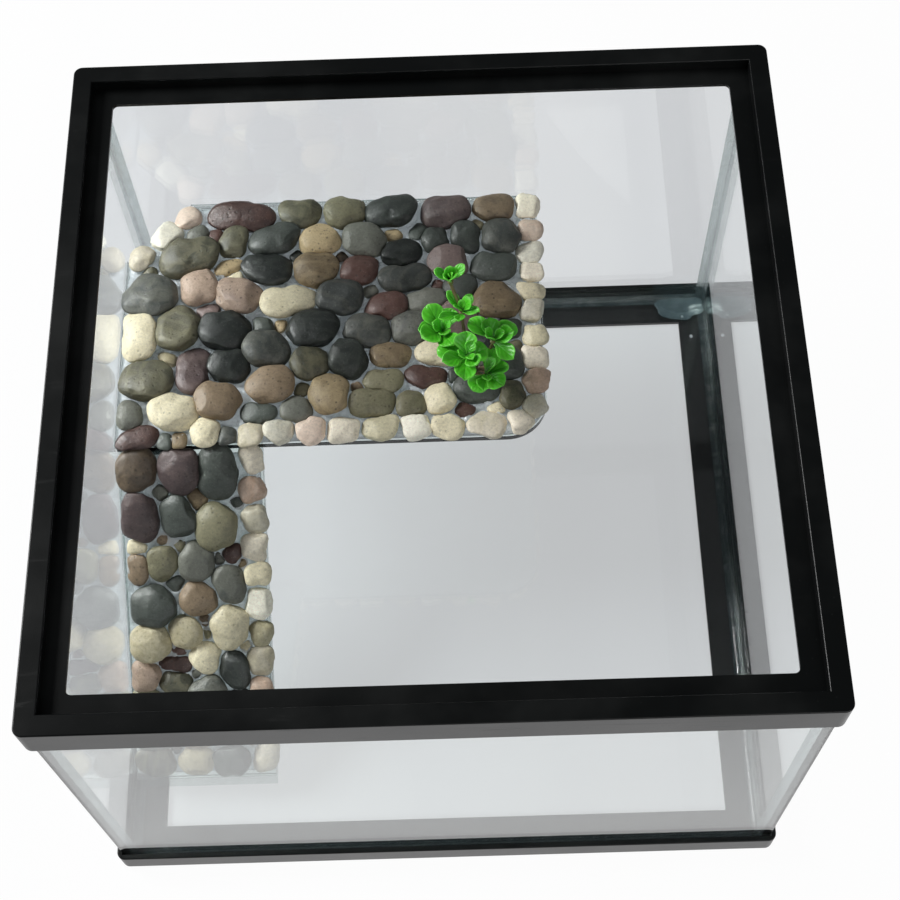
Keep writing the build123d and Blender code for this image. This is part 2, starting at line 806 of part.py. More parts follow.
with BuildPart() as plant_stems:
    with BuildSketch(Plane.XY.offset(bedding_top)):
        with Locations((plant_x, plant_y)):
            Circle(plant_foot_radius)
    extrude(amount=plant_foot_height, taper=plant_foot_taper)
    for whorl in whorls:
        start = stem_start(whorl)
        end = whorl.middle() - Vector(0, 0, hub_height / 2)
        with BuildLine() as stem_line:
            Spline(start, end, tangents=[(0, 0, 1), (0, 0, 1)])
        with BuildSketch(Plane(origin=start, z_dir=(0, 0, 1))):
            Circle(stem_radius)
        sweep(path=stem_line.line)
finish(plant_stems, "plant_stems")


def leaf_plane(whorl, bearing):
    """Plane of one leaf: X along the leaf, rising from the whorl's hub."""
    out = Vector(1, 0, 0).rotate(Axis.Z, bearing)
    rise = math.radians(whorl.lift)
    along = out * math.cos(rise) + Vector(0, 0, 1) * math.sin(rise)
    face = Vector(0, 0, 1) * math.cos(rise) - out * math.sin(rise)
    return Plane(origin=whorl.middle(), x_dir=along, z_dir=face)


for whorl in whorls:
    blade = whorl.leaf_length * leaf_blade_share
    stalk = whorl.leaf_length * leaf_stalk_share
    with BuildPart() as leaf_whorl:
        with Locations(whorl.middle()):
            Cylinder(hub_radius, hub_height)
        for bearing in whorl.bearings:
            with BuildSketch(leaf_plane(whorl, bearing)):
                with Locations((whorl.leaf_length - blade / 2, 0)):
                    Ellipse(blade / 2, whorl.leaf_width / 2)
                with Locations((hub_radius / 2 + stalk / 2, 0)):
                    Rectangle(stalk, leaf_stalk_width)
            extrude(amount=leaf_thickness / 2, both=True)
    finish(leaf_whorl, whorl.label)
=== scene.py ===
import math
import random

import bmesh
import bpy
from mathutils import Matrix, Vector, noise


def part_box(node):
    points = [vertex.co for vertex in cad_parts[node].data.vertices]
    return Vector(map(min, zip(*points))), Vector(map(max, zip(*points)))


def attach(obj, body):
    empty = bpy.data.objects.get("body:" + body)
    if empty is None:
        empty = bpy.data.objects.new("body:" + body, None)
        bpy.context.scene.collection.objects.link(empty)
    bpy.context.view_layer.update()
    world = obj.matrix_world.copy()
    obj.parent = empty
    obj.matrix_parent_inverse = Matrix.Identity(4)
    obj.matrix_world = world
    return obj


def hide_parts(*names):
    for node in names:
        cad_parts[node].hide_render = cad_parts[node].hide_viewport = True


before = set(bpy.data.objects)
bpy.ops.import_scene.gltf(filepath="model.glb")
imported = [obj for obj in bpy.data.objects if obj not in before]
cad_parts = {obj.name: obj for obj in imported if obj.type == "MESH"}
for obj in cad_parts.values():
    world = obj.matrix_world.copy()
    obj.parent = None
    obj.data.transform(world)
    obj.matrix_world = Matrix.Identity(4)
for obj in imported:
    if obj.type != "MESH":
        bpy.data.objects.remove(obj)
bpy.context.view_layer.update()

bl_info = {
    "name": "Turtle Tank Builder",
    "version": (1, 0, 0),
    "blender": (4, 5, 0),
    "location": "View3D > Sidebar > Turtle Tank",
    "description": "Dresses a turtle tank with glass, pebbles, silicone and a soft plastic plant",
    "category": "Object",
}

MM = 0.001


def shade(red, green, blue):
    """A colour given as the 0 to 255 values that a screen shows, as linear light."""

    def linear(value):
        share = value / 255
        return share / 12.92 if share <= 0.04045 else ((share + 0.055) / 1.055) ** 2.4

    return (linear(red), linear(green), linear(blue), 1.0)


def colour_property(name, description, default):
    """A colour that a user can change."""
    return bpy.props.FloatVectorProperty(
        name=name, description=description, subtype="COLOR", size=4, min=0.0, max=1.0, default=default
    )


def length_property(name, description, millimetres):
    """A length that a user can change, with its default in millimetres."""
    return bpy.props.FloatProperty(
        name=name, description=description, unit="LENGTH", default=millimetres * MM, precision=4
    )


class TankPlasticSettings(bpy.types.PropertyGroup):
    frame_colour: colour_property("Frame colour", "Black moulded plastic of both frames", shade(8, 10, 10))
    frame_dust: colour_property("Frame dust", "Pale dust that lies on the frames", shade(120, 122, 120))
    frame_roughness: bpy.props.FloatProperty(
        name="Frame roughness", description="Roughness of the moulded plastic", default=0.24, min=0.0, max=1.0
    )


class TankGlassSettings(bpy.types.PropertyGroup):
    arris: length_property("Arris", "Width of the ground edge of each pane", 0.5)
    air_gap: length_property("Air gap", "How far each pane stays inside its drawn size", 0.06)
    edge_tint: colour_property(
        "Edge tint", "Green of the glass where light runs along it", shade(126, 200, 182)
    )
    edge_density: bpy.props.FloatProperty(
        name="Edge density", description="How fast the glass takes up light, per metre", default=6.0, min=0.0
    )
    shelf_density: bpy.props.FloatProperty(
        name="Shelf density", description="The same for the platform and the ramp", default=28.0, min=0.0
    )


class TankSiliconeSettings(bpy.types.PropertyGroup):
    tint: colour_property("Tint", "Colour of the clear silicone of the bed", shade(228, 233, 238))
    bed_milk: colour_property("Bed milk", "Colour of the milkiness in the bed", shade(234, 238, 242))
    seam_tint: colour_property("Seam tint", "Colour of the silicone seams", shade(204, 215, 211))
    seam_milk: colour_property(
        "Seam milk", "Colour of the milkiness in seams and smears", shade(118, 138, 146)
    )
    lumps: length_property("Lumps", "Height of the lumps in the bedding", 2.0)
    meniscus: length_property("Meniscus", "How far the bedding climbs up each pebble", 4.0)
    cell: length_property("Cell", "Size of the bedding's mesh", 2.2)


class TankPebbleSettings(bpy.types.PropertyGroup):
    growth: length_property("Growth", "How far a pebble may fill the room round it", 3.2)
    gap: length_property("Gap", "Room left between pebbles", 0.35)
    sink: length_property("Sink", "How far a pebble sinks into the bedding", 0.6)
    lumpiness: bpy.props.FloatProperty(
        name="Lumpiness", description="Size of a pebble's large lumps", default=0.10, min=0.0, max=0.3
    )
    facet_depth: bpy.props.FloatProperty(
        name="Facet depth", description="How much a worn flat takes off a pebble",
        default=0.85, min=0.0, max=1.0,
    )


class TankPlantSettings(bpy.types.PropertyGroup):
    from_right: length_property("From right", "Plant's foot from the platform's right edge", 46.0)
    from_front: length_property("From front", "Plant's foot from the platform's front edge", 44.0)
    leaf_thickness: length_property("Leaf thickness", "Thickness of the soft leaves", 0.7)
    stem_radius: length_property("Stem radius", "Radius of the stems", 1.1)
    leaf_colour: colour_property("Leaf colour", "Green of the leaves", shade(74, 173, 35))
    # Painted light on the leaves: the rim colour is a painted highlight, and the heart colour is painted shade
    # near the stalk
    leaf_lit_colour: colour_property("Leaf tip colour", "Paler green near the rims", shade(112, 210, 72))
    leaf_shade_colour: colour_property("Leaf heart colour", "Darker green near the stalk", shade(40, 112, 26))
    stem_colour: colour_property("Stem colour", "Brownish green of the stems", shade(96, 104, 48))
    stem_brown: colour_property("Stem brown", "Brown that the stems are mottled with", shade(104, 82, 58))


class TankStageSettings(bpy.types.PropertyGroup):
    lens: bpy.props.FloatProperty(name="Lens", description="Focal length in millimetres", default=67.754)
    camera_place: bpy.props.FloatVectorProperty(
        name="Camera place", description="Where the camera stands", subtype="XYZ", size=3,
        default=(0.020785, -0.441571, 1.043237), precision=5,
    )
    camera_turn: bpy.props.FloatVectorProperty(
        name="Camera turn", description="The camera's turn about X, Y and Z, in degrees", size=3,
        default=(26.52154, 1.34985, -1.35579), precision=5,
    )
    floor_colour: colour_property("Floor colour", "White paper under the tank", shade(214, 215, 218))
    # Painted shade: the paper lies flat, and its folds are only a darker colour
    fold_shade_colour: colour_property("Fold colour", "The paper where it is softly folded", shade(198, 200, 206))
    sky_strength: bpy.props.FloatProperty(
        name="Sky strength", description="Soft light from all round", default=0.17, min=0.0
    )
    sky_mirrored: bpy.props.FloatProperty(
        name="Sky mirrored", description="The same where gloss and glass mirror it", default=0.09, min=0.0
    )
    key_power: bpy.props.FloatProperty(
        name="Key power", description="Power of the window light", unit="POWER", default=50.0, min=0.0
    )


# Shader helpers


def add_node(tree, kind, place=(0, 0), **settings):
    """A shader node with its settings; an input's value is given by its name in a dict called inputs."""
    inputs = settings.pop("inputs", {})
    made = tree.nodes.new(kind)
    made.location = place
    for key, value in settings.items():
        setattr(made, key, value)
    for key, value in inputs.items():
        made.inputs[key].default_value = value
    return made


def new_material(name):
    """A material with an empty tree, and its output node."""
    material = bpy.data.materials.new(name)
    material.use_nodes = True
    tree = material.node_tree
    tree.nodes.clear()
    return material, tree, add_node(tree, "ShaderNodeOutputMaterial", (900, 0))


def new_group(name, inputs, outputs):
    """A shader node group with named sockets: (name, kind, default) in and (name, kind) out."""
    group = bpy.data.node_groups.new(name, "ShaderNodeTree")
    for label, kind, default in inputs:
        socket = group.interface.new_socket(name=label, in_out="INPUT", socket_type=kind)
        socket.default_value = default
    for label, kind in outputs:
        group.interface.new_socket(name=label, in_out="OUTPUT", socket_type=kind)
    entry = add_node(group, "NodeGroupInput", (-1200, 0))
    leave = add_node(group, "NodeGroupOutput", (1200, 0))
    return group, entry, leave


def use_group(tree, group, place, values):
    """A node group placed in a material, with its own values."""
    used = add_node(tree, "ShaderNodeGroup", place, node_tree=group)
    for label, value in values.items():
        used.inputs[label].default_value = value
    return used


def maths(tree, operation, first, second=None, place=(0, 0), clamp=False):
    """A Math node; each side is a socket or a number."""
    made = add_node(tree, "ShaderNodeMath", place, operation=operation, use_clamp=clamp)
    for index, side in enumerate((first, second)):
        if isinstance(side, bpy.types.NodeSocket):
            tree.links.new(side, made.inputs[index])
        elif side is not None:
            made.inputs[index].default_value = side
    return made.outputs[0]


def ramp_between(tree, value, low, high, place=(0, 0), to_low=0.0, to_high=1.0):
    """A value spread smoothly from one range to another."""
    made = add_node(tree, "ShaderNodeMapRange", place, interpolation_type="SMOOTHSTEP")
    tree.links.new(value, made.inputs["Value"])
    for label, number in (("From Min", low), ("From Max", high), ("To Min", to_low), ("To Max", to_high)):
        made.inputs[label].default_value = number
    return made.outputs["Result"]


def mix_colours(tree, share, first, second, place=(0, 0), blend="MIX"):
    """A colour mix; each part is a socket or a plain value."""
    made = add_node(tree, "ShaderNodeMix", place, data_type="RGBA", blend_type=blend)
    for index, part in ((0, share), (6, first), (7, second)):
        if isinstance(part, bpy.types.NodeSocket):
            tree.links.new(part, made.inputs[index])
        else:
            made.inputs[index].default_value = part
    return made.outputs[2]


def noise_of(tree, coordinates, scale, detail=3.0, roughness=0.5, place=(0, 0), distortion=0.0):
    """Soft noise from 0 to 1."""
    made = add_node(
        tree, "ShaderNodeTexNoise", place,
        inputs={"Scale": scale, "Detail": detail, "Roughness": roughness, "Distortion": distortion},
    )
    tree.links.new(coordinates, made.inputs["Vector"])
    return made.outputs["Fac"]


def voronoi_of(tree, coordinates, scale, place=(0, 0)):
    """Scattered cells: how far each point is from its cell's middle, and a random colour for each cell."""
    made = add_node(tree, "ShaderNodeTexVoronoi", place, inputs={"Scale": scale, "Randomness": 1.0})
    tree.links.new(coordinates, made.inputs["Vector"])
    return made.outputs["Distance"], made.outputs["Color"]


def channel_of(tree, colour, channel, place=(0, 0)):
    """One channel of a colour, as a value."""
    split = add_node(tree, "ShaderNodeSeparateColor", place)
    tree.links.new(colour, split.inputs[0])
    return split.outputs[channel]


def attribute_of(tree, name, place=(0, 0)):
    """A value that the mesh holds at each point."""
    return add_node(tree, "ShaderNodeAttribute", place, attribute_name=name).outputs["Fac"]


def object_place(tree, place=(0, 0)):
    """Object coordinates, which stand still on every piece."""
    return add_node(tree, "ShaderNodeTexCoord", place).outputs["Object"]


def reflected_only(tree, path, place):
    """1 for a ray mirrored off a surface, and 0 for one that has also passed through glass."""
    glossy, passed = path.outputs["Is Glossy Ray"], path.outputs["Is Transmission Ray"]
    return maths(tree, "SUBTRACT", glossy, passed, place, clamp=True)


def bump_of(tree, height, strength, distance, place=(0, 0)):
    """A normal bent by a height, with the relief's depth in metres."""
    made = add_node(tree, "ShaderNodeBump", place, inputs={"Strength": strength, "Distance": distance})
    tree.links.new(height, made.inputs["Height"])
    return made.outputs["Normal"]


# Materials

GLASS_IOR = 1.56
SILICONE_IOR = 1.41
# Colour that one surface leaves of the lamp light that goes through it
PANE_PASSES = (0.97, 0.982, 0.98, 1.0)
SHELF_PASSES = (0.95, 0.975, 0.97, 1.0)
SILICONE_PASSES = (0.93, 0.945, 0.95, 1.0)
# How much lighter a silicone's lumps are than its hollows: a painted highlight on the lumps
PAINTED_LUMP_HIGHLIGHT = 1.12
# Painted shade: the near black put into each pebble's pits
PIT_SHADE_COLOUR = (0.02, 0.018, 0.015, 1.0)


def make_moulded_group():
    """Fine moulding grain, faint scuffs and dust, for the plastic frames."""
    group, entry, leave = new_group(
        "Moulded plastic",
        (("Base", "NodeSocketColor", (0.01, 0.01, 0.01, 1)), ("Dust", "NodeSocketColor", (0.2, 0.2, 0.2, 1)),
         ("Dust Amount", "NodeSocketFloat", 0.1), ("Roughness", "NodeSocketFloat", 0.35)),
        (("Color", "NodeSocketColor"), ("Roughness", "NodeSocketFloat"), ("Height", "NodeSocketFloat")),
    )
    place = object_place(group, (-1200, 300))
    clouds = noise_of(group, place, 14.0, 4.0, 0.6, (-900, 300))
    grain = noise_of(group, place, 1800.0, 2.0, 0.5, (-900, 100))
    stretched = add_node(group, "ShaderNodeMapping", (-1000, -150), inputs={"Scale": (9.0, 90.0, 200.0)})
    group.links.new(place, stretched.inputs["Vector"])
    scuffs = noise_of(group, stretched.outputs["Vector"], 1.0, 6.0, 0.7, (-800, -150), 1.2)
    scuff_mask = ramp_between(group, scuffs, 0.60, 0.74, (-600, -150))
    dust_mask = ramp_between(group, clouds, 0.42, 0.75, (-600, 300))
    specks, _ = voronoi_of(group, place, 210.0, (-900, -400))
    speck_mask = ramp_between(group, specks, 0.10, 0.04, (-600, -400))
    share = maths(group, "MULTIPLY", dust_mask, entry.outputs["Dust Amount"], (-300, 300))
    speck_share = maths(group, "MULTIPLY", speck_mask, entry.outputs["Dust Amount"], (-300, -400))
    both = maths(group, "MAXIMUM", share, speck_share, (-100, 200), clamp=True)
    colour = mix_colours(group, both, entry.outputs["Base"], entry.outputs["Dust"], (200, 300))
    group.links.new(colour, leave.inputs["Color"])
    rough = maths(group, "MULTIPLY_ADD", clouds, 0.16, (0, 0))
    group.links.new(entry.outputs["Roughness"], rough.node.inputs[2])
    scuffed = maths(group, "MULTIPLY", scuff_mask, 0.18, (0, -150))
    rough = maths(group, "ADD", rough, scuffed, (300, 0), clamp=True)
    group.links.new(rough, leave.inputs["Roughness"])
    height = maths(group, "ADD", maths(group, "MULTIPLY", grain, 0.5, (0, -300)), clouds, (300, -300))
    group.links.new(height, leave.inputs["Height"])
    return group


def make_frame_material(group, settings):
    """Black moulded plastic, a little glossy and with hardly any dust."""
    material, tree, output = new_material("black_moulded_plastic")
    used = use_group(tree, group, (-300, 0), {
        "Base": settings.frame_colour, "Dust": settings.frame_dust,
        "Dust Amount": 0.035, "Roughness": settings.frame_roughness,
    })
    shader = add_node(tree, "ShaderNodeBsdfPrincipled", (500, 0), inputs={
        "IOR": 1.5, "Specular IOR Level": 0.27,
    })
    tree.links.new(used.outputs["Color"], shader.inputs["Base Color"])
    tree.links.new(used.outputs["Roughness"], shader.inputs["Roughness"])
    tree.links.new(bump_of(tree, used.outputs["Height"], 0.25, 0.0004, (200, -250)), shader.inputs["Normal"])
    tree.links.new(shader.outputs[0], output.inputs["Surface"])
    return material


def let_light_through(tree, shader, output, tint, straight=0.0):
    """Lamp and bounce light passes, tinted; what is seen is bent, apart from the straight share."""
    clear = add_node(tree, "ShaderNodeBsdfTransparent", (500, -300), inputs={"Color": tint})
    path = add_node(tree, "ShaderNodeLightPath", (200, 400))
    either = maths(tree, "MAXIMUM", path.outputs["Is Shadow Ray"], path.outputs["Is Diffuse Ray"], (450, 300))
    if straight:
        either = maths(tree, "MAXIMUM", either, straight, (600, 300))
    mixed = add_node(tree, "ShaderNodeMixShader", (720, 0))
    tree.links.new(either, mixed.inputs[0])
    tree.links.new(shader, mixed.inputs[1])
    tree.links.new(clear.outputs[0], mixed.inputs[2])
    tree.links.new(mixed.outputs[0], output.inputs["Surface"])


def make_glass_material(name, tint, density, through):
    """Clear float glass: greenish where light runs far in it, with a few faint smears."""
    material, tree, output = new_material(name)
    wiped = noise_of(tree, object_place(tree, (-900, 0)), 16.0, 6.0, 0.65, (-700, 0), 0.8)
    smears = ramp_between(tree, wiped, 0.56, 0.80, (-450, 0), 0.0, 0.05)
    shader = add_node(tree, "ShaderNodeBsdfPrincipled", (300, 0), inputs={
        "Base Color": (1.0, 1.0, 1.0, 1.0), "Metallic": 0.0, "IOR": GLASS_IOR, "Transmission Weight": 1.0,
    })
    tree.links.new(smears, shader.inputs["Roughness"])
    let_light_through(tree, shader.outputs[0], output, through)
    absorb = add_node(tree, "ShaderNodeVolumeAbsorption", (500, -500), inputs={
        "Color": tint, "Density": density,
    })
    tree.links.new(absorb.outputs[0], output.inputs["Volume"])
    return material


def make_silicone_material(name, tint, milk, milkiness, bump_height, straight):
    """Clear cured silicone: glossy, lumpy and slightly milky, with a painted highlight that makes the lumps
    paler than the hollows.
    """
    material, tree, output = new_material(name)
    place = object_place(tree, (-900, 0))
    lumps = noise_of(tree, place, 190.0, 3.0, 0.55, (-700, 100), 0.6)
    ripples = noise_of(tree, place, 620.0, 2.0, 0.5, (-700, -150))
    height = maths(tree, "MULTIPLY_ADD", ripples, 0.3, (-400, 0))
    tree.links.new(lumps, height.node.inputs[2])
    rough = ramp_between(tree, lumps, 0.3, 0.75, (-400, 250), 0.05, 0.22)
    # Painted highlight: the raised lumps get a paler colour than the hollows
    lump_highlight_mask = ramp_between(tree, lumps, 0.35, 0.7, (-400, 450))
    clear = add_node(tree, "ShaderNodeBsdfPrincipled", (300, 200), inputs={
        "Metallic": 0.0, "IOR": SILICONE_IOR, "Transmission Weight": 1.0,
    })
    milky = add_node(tree, "ShaderNodeBsdfPrincipled", (300, -500), inputs={
        "Metallic": 0.0, "IOR": SILICONE_IOR,
    })
    normal = bump_of(tree, height, 0.9, bump_height, (0, -200))
    for shader, colour in ((clear, tint), (milky, milk)):
        highlit_colour = [min(channel * PAINTED_LUMP_HIGHLIGHT, 1.0) for channel in colour]
        tree.links.new(mix_colours(tree, lump_highlight_mask, colour, highlit_colour, (-150, 400)), shader.inputs["Base Color"])
        tree.links.new(rough, shader.inputs["Roughness"])
        tree.links.new(normal, shader.inputs["Normal"])
    both = add_node(tree, "ShaderNodeMixShader", (560, 100), inputs={0: milkiness})
    tree.links.new(clear.outputs[0], both.inputs[1])
    tree.links.new(milky.outputs[0], both.inputs[2])
    let_light_through(tree, both.outputs[0], output, SILICONE_PASSES, straight)
    return material


def make_pebble_group():
    """Surface of a river pebble: cloudy colour, specks, pits that are dented and filled with painted shade,
    and, on some pebbles, bands.
    """
    group, entry, leave = new_group(
        "Pebble surface",
        (("Base", "NodeSocketColor", (0.1, 0.1, 0.1, 1)), ("Second", "NodeSocketColor", (0.2, 0.2, 0.2, 1)),
         ("Speck", "NodeSocketColor", (0.5, 0.5, 0.5, 1)), ("Speck Amount", "NodeSocketFloat", 0.3),
         ("Pit Amount", "NodeSocketFloat", 0.3), ("Band Amount", "NodeSocketFloat", 0.3),
         ("Roughness", "NodeSocketFloat", 0.5)),
        (("Color", "NodeSocketColor"), ("Roughness", "NodeSocketFloat"), ("Height", "NodeSocketFloat")),
    )
    place = object_place(group, (-1800, 300))
    tint = attribute_of(group, "pebble_tint", (-1800, 0))
    vein = attribute_of(group, "pebble_vein", (-1800, -200))
    layer = attribute_of(group, "pebble_layer", (-1800, -400))

    clouds = noise_of(group, place, 90.0, 5.0, 0.66, (-1500, 400), 0.8)
    leaning = maths(group, "MULTIPLY_ADD", tint, 0.55, (-1300, 300))
    group.links.new(clouds, leaning.node.inputs[2])
    patch = ramp_between(group, leaning, 0.46, 0.86, (-1100, 300))
    colour = mix_colours(group, patch, entry.outputs["Base"], entry.outputs["Second"], (-800, 300))

    grain = noise_of(group, place, 620.0, 5.0, 0.72, (-1500, 100))
    grain_light = ramp_between(group, grain, 0.25, 0.75, (-1200, 100), 0.80, 1.17)
    colour = mix_colours(group, 1.0, colour, grain_light, (-600, 300), "MULTIPLY")

    wave = maths(group, "MULTIPLY", layer, 900.0, (-1500, -400))
    wander = maths(group, "MULTIPLY_ADD", clouds, 7.0, (-1300, -400))
    group.links.new(wave, wander.node.inputs[2])
    lines = ramp_between(group, maths(group, "SINE", wander, None, (-1100, -400)), 0.35, 0.95, (-900, -400))
    has_bands = ramp_between(group, vein, 0.62, 0.72, (-1300, -250))
    banded = maths(group, "MULTIPLY", has_bands, lines, (-700, -350))
    banded = maths(group, "MULTIPLY", banded, entry.outputs["Band Amount"], (-500, -350), clamp=True)
    colour = mix_colours(group, banded, colour, entry.outputs["Second"], (-300, 300))

    specks, lot = voronoi_of(group, place, 760.0, (-1500, -700))
    spots = ramp_between(group, specks, 0.38, 0.16, (-1200, -700))
    chosen = ramp_between(group, channel_of(group, lot, "Red", (-1200, -900)), 0.66, 0.74, (-1000, -900))
    speckled = maths(group, "MULTIPLY", spots, chosen, (-800, -800))
    speckled = maths(group, "MULTIPLY", speckled, entry.outputs["Speck Amount"], (-500, -700), clamp=True)
    colour = mix_colours(group, speckled, colour, entry.outputs["Speck"], (0, 300))

    # Pits are dented in the relief and painted near black as the shade inside them
    pits, lot = voronoi_of(group, place, 330.0, (-1500, -1200))
    hollow = ramp_between(group, pits, 0.32, 0.10, (-1200, -1200))
    chosen = ramp_between(group, channel_of(group, lot, "Green", (-1200, -1400)), 0.45, 0.6, (-1000, -1400))
    pit_dent_and_shade = maths(group, "MULTIPLY", hollow, chosen, (-800, -1250))
    pit_dent_and_shade = maths(group, "MULTIPLY", pit_dent_and_shade, entry.outputs["Pit Amount"], (-600, -1250), clamp=True)
    colour = mix_colours(group, pit_dent_and_shade, colour, PIT_SHADE_COLOUR, (300, 300))

    light = ramp_between(group, tint, 0.0, 1.0, (300, 0), 0.66, 1.12)
    colour = mix_colours(group, 1.0, colour, light, (600, 300), "MULTIPLY")
    group.links.new(colour, leave.inputs["Color"])
    rough = maths(group, "MULTIPLY_ADD", grain, 0.25, (600, 0))
    group.links.new(entry.outputs["Roughness"], rough.node.inputs[2])
    group.links.new(rough, leave.inputs["Roughness"])
    height = maths(group, "SUBTRACT", maths(group, "MULTIPLY", grain, 0.6, (600, -300)), pit_dent_and_shade, (800, -300))
    group.links.new(height, leave.inputs["Height"])
    return group


# Tone: base, second and speck colours, how many specks, pits (dented, with painted shade in them) and bands,
# and roughness
PEBBLE_LOOKS = {
    "charcoal": (shade(46, 50, 48), shade(76, 81, 76), shade(112, 116, 110), 0.35, 0.25, 0.35, 0.44),
    "slate": (shade(76, 80, 78), shade(112, 113, 104), shade(140, 142, 134), 0.30, 0.3, 0.4, 0.48),
    "olive": (shade(84, 84, 70), shade(128, 124, 100), shade(60, 58, 48), 0.30, 0.45, 0.6, 0.48),
    "brown": (shade(94, 82, 70), shade(138, 120, 98), shade(66, 52, 44), 0.30, 0.45, 0.4, 0.50),
    "plum": (shade(92, 78, 78), shade(120, 104, 100), shade(146, 132, 126), 0.30, 0.35, 0.2, 0.48),
    "maroon": (shade(66, 48, 45), shade(94, 70, 64), shade(150, 130, 118), 0.30, 0.45, 0.2, 0.42),
    "pink": (shade(140, 122, 112), shade(178, 156, 138), shade(96, 78, 70), 0.40, 0.5, 0.3, 0.52),
    "tan": (shade(142, 124, 98), shade(184, 164, 128), shade(104, 84, 60), 0.40, 0.55, 0.4, 0.52),
    "cream": (shade(202, 190, 154), shade(224, 214, 184), shade(130, 112, 80), 0.22, 0.30, 0.3, 0.52),
    "pale": (shade(228, 217, 188), shade(240, 230, 210), shade(176, 150, 116), 0.15, 0.15, 0.4, 0.48),
    "blush": (shade(232, 200, 176), shade(238, 216, 198), shade(186, 130, 100), 0.12, 0.12, 0.4, 0.48),
    "ivory": (shade(236, 228, 203), shade(242, 237, 220), shade(190, 172, 130), 0.10, 0.15, 0.3, 0.48),
    "moss": (shade(182, 172, 138), shade(208, 200, 170), shade(120, 110, 80), 0.20, 0.3, 0.4, 0.48),
}


def make_pebble_material(group, tone):
    """A wet-looking river pebble of one tone."""
    base, second, speck, speck_amount, pit_amount, band_amount, roughness = PEBBLE_LOOKS[tone]
    material, tree, output = new_material(tone + "_pebble")
    used = use_group(tree, group, (-300, 0), {
        "Base": base, "Second": second, "Speck": speck, "Speck Amount": speck_amount,
        "Pit Amount": pit_amount, "Band Amount": band_amount, "Roughness": roughness - 0.12,
    })
    shader = add_node(tree, "ShaderNodeBsdfPrincipled", (500, 0), inputs={
        "IOR": 1.5, "Specular IOR Level": 0.42,
    })
    tree.links.new(used.outputs["Color"], shader.inputs["Base Color"])
    tree.links.new(used.outputs["Roughness"], shader.inputs["Roughness"])
    tree.links.new(bump_of(tree, used.outputs["Height"], 0.7, 0.0005, (200, -250)), shader.inputs["Normal"])
    tree.links.new(shader.outputs[0], output.inputs["Surface"])
    return material


def make_leaf_material(settings):
    """Soft green plastic with a fine vein relief: painted shade darkens it at the stalk, and a painted
    highlight makes it paler at the rim.
    """
    material, tree, output = new_material("soft_green_plastic")
    along = attribute_of(tree, "leaf_along", (-1100, 200))
    across = maths(tree, "ABSOLUTE", attribute_of(tree, "leaf_across", (-1100, 0)), None, (-900, -50))
    tint = attribute_of(tree, "leaf_tint", (-1100, -200))
    clouds = noise_of(tree, object_place(tree, (-1100, 500)), 130.0, 3.0, 0.5, (-900, 500))
    # Painted shade darkens each leaf towards its stalk, and a painted highlight makes it paler at the tip and
    # the sides
    heart = ramp_between(tree, along, 0.05, 0.6, (-800, 200))
    colour = mix_colours(tree, heart, settings.leaf_shade_colour, settings.leaf_colour, (-500, 300))
    tip = ramp_between(tree, along, 0.75, 1.0, (-800, 0))
    side = ramp_between(tree, across, 0.6, 1.0, (-800, -100))
    rim = maths(tree, "MAXIMUM", tip, side, (-500, 0))
    pale = maths(tree, "MULTIPLY", rim, 0.7, (-350, 0))
    colour = mix_colours(tree, pale, colour, settings.leaf_lit_colour, (-200, 300))
    cloudy = ramp_between(tree, clouds, 0.3, 0.7, (-700, 500), 0.86, 1.06)
    light = maths(tree, "ADD", cloudy, maths(tree, "MULTIPLY", tint, 0.12, (-700, 650)), (-450, 550))
    colour = mix_colours(tree, 1.0, colour, light, (0, 300), "MULTIPLY")
    forward = maths(tree, "MULTIPLY", along, 26.0, (-900, -350))
    outward = maths(tree, "MULTIPLY", across, 14.0, (-700, -450))
    slant = maths(tree, "SUBTRACT", forward, outward, (-500, -350))
    veins = maths(tree, "MULTIPLY", maths(tree, "SINE", slant, None, (-350, -350)), 0.4, (-200, -350))
    midrib = ramp_between(tree, across, 0.10, 0.0, (-350, -550))
    height = maths(tree, "SUBTRACT", veins, midrib, (-50, -400))
    shader = add_node(tree, "ShaderNodeBsdfPrincipled", (400, 0), inputs={
        "Roughness": 0.36, "IOR": 1.46, "Specular IOR Level": 0.45,
        "Subsurface Weight": 0.35, "Subsurface Radius": (0.0012, 0.0035, 0.0008), "Subsurface Scale": 1.0,
    })
    tree.links.new(colour, shader.inputs["Base Color"])
    tree.links.new(bump_of(tree, height, 0.5, 0.0003, (150, -300)), shader.inputs["Normal"])
    tree.links.new(shader.outputs[0], output.inputs["Surface"])
    return material


def make_stem_material(settings):
    """Soft plastic of the stems, mottled from green to brown."""
    material, tree, output = new_material("soft_stem_plastic")
    clouds = noise_of(tree, object_place(tree, (-900, 0)), 260.0, 4.0, 0.6, (-700, 0))
    mottle = ramp_between(tree, clouds, 0.35, 0.7, (-450, 0))
    colour = mix_colours(tree, mottle, settings.stem_colour, settings.stem_brown, (-200, 0))
    shader = add_node(tree, "ShaderNodeBsdfPrincipled", (300, 0), inputs={"Roughness": 0.45})
    tree.links.new(colour, shader.inputs["Base Color"])
    tree.links.new(bump_of(tree, clouds, 0.5, 0.0004, (50, -250)), shader.inputs["Normal"])
    tree.links.new(shader.outputs[0], output.inputs["Surface"])
    return material


# Pieces

# Points of a CAD mesh nearer than this are one point
SAME_POINT = 1e-6
# A face whose normal is this near a direction faces that way
FACING = 0.999
# Size of a shelf's sheet beside its CAD node, so that they don't touch what holds them
SHELF_SHRINK = 0.9995
# Steps round a pebble's outline, halvings of each reach, and rounds of smoothing
OUTLINE_STEPS, HALVINGS, SMOOTHING_ROUNDS = 48, 9, 5
# The least that a pebble reaches, as a share of its radius, and the furthest that its foot dips
LEAST_REACH, DEEPEST = 0.6, 0.5 * MM
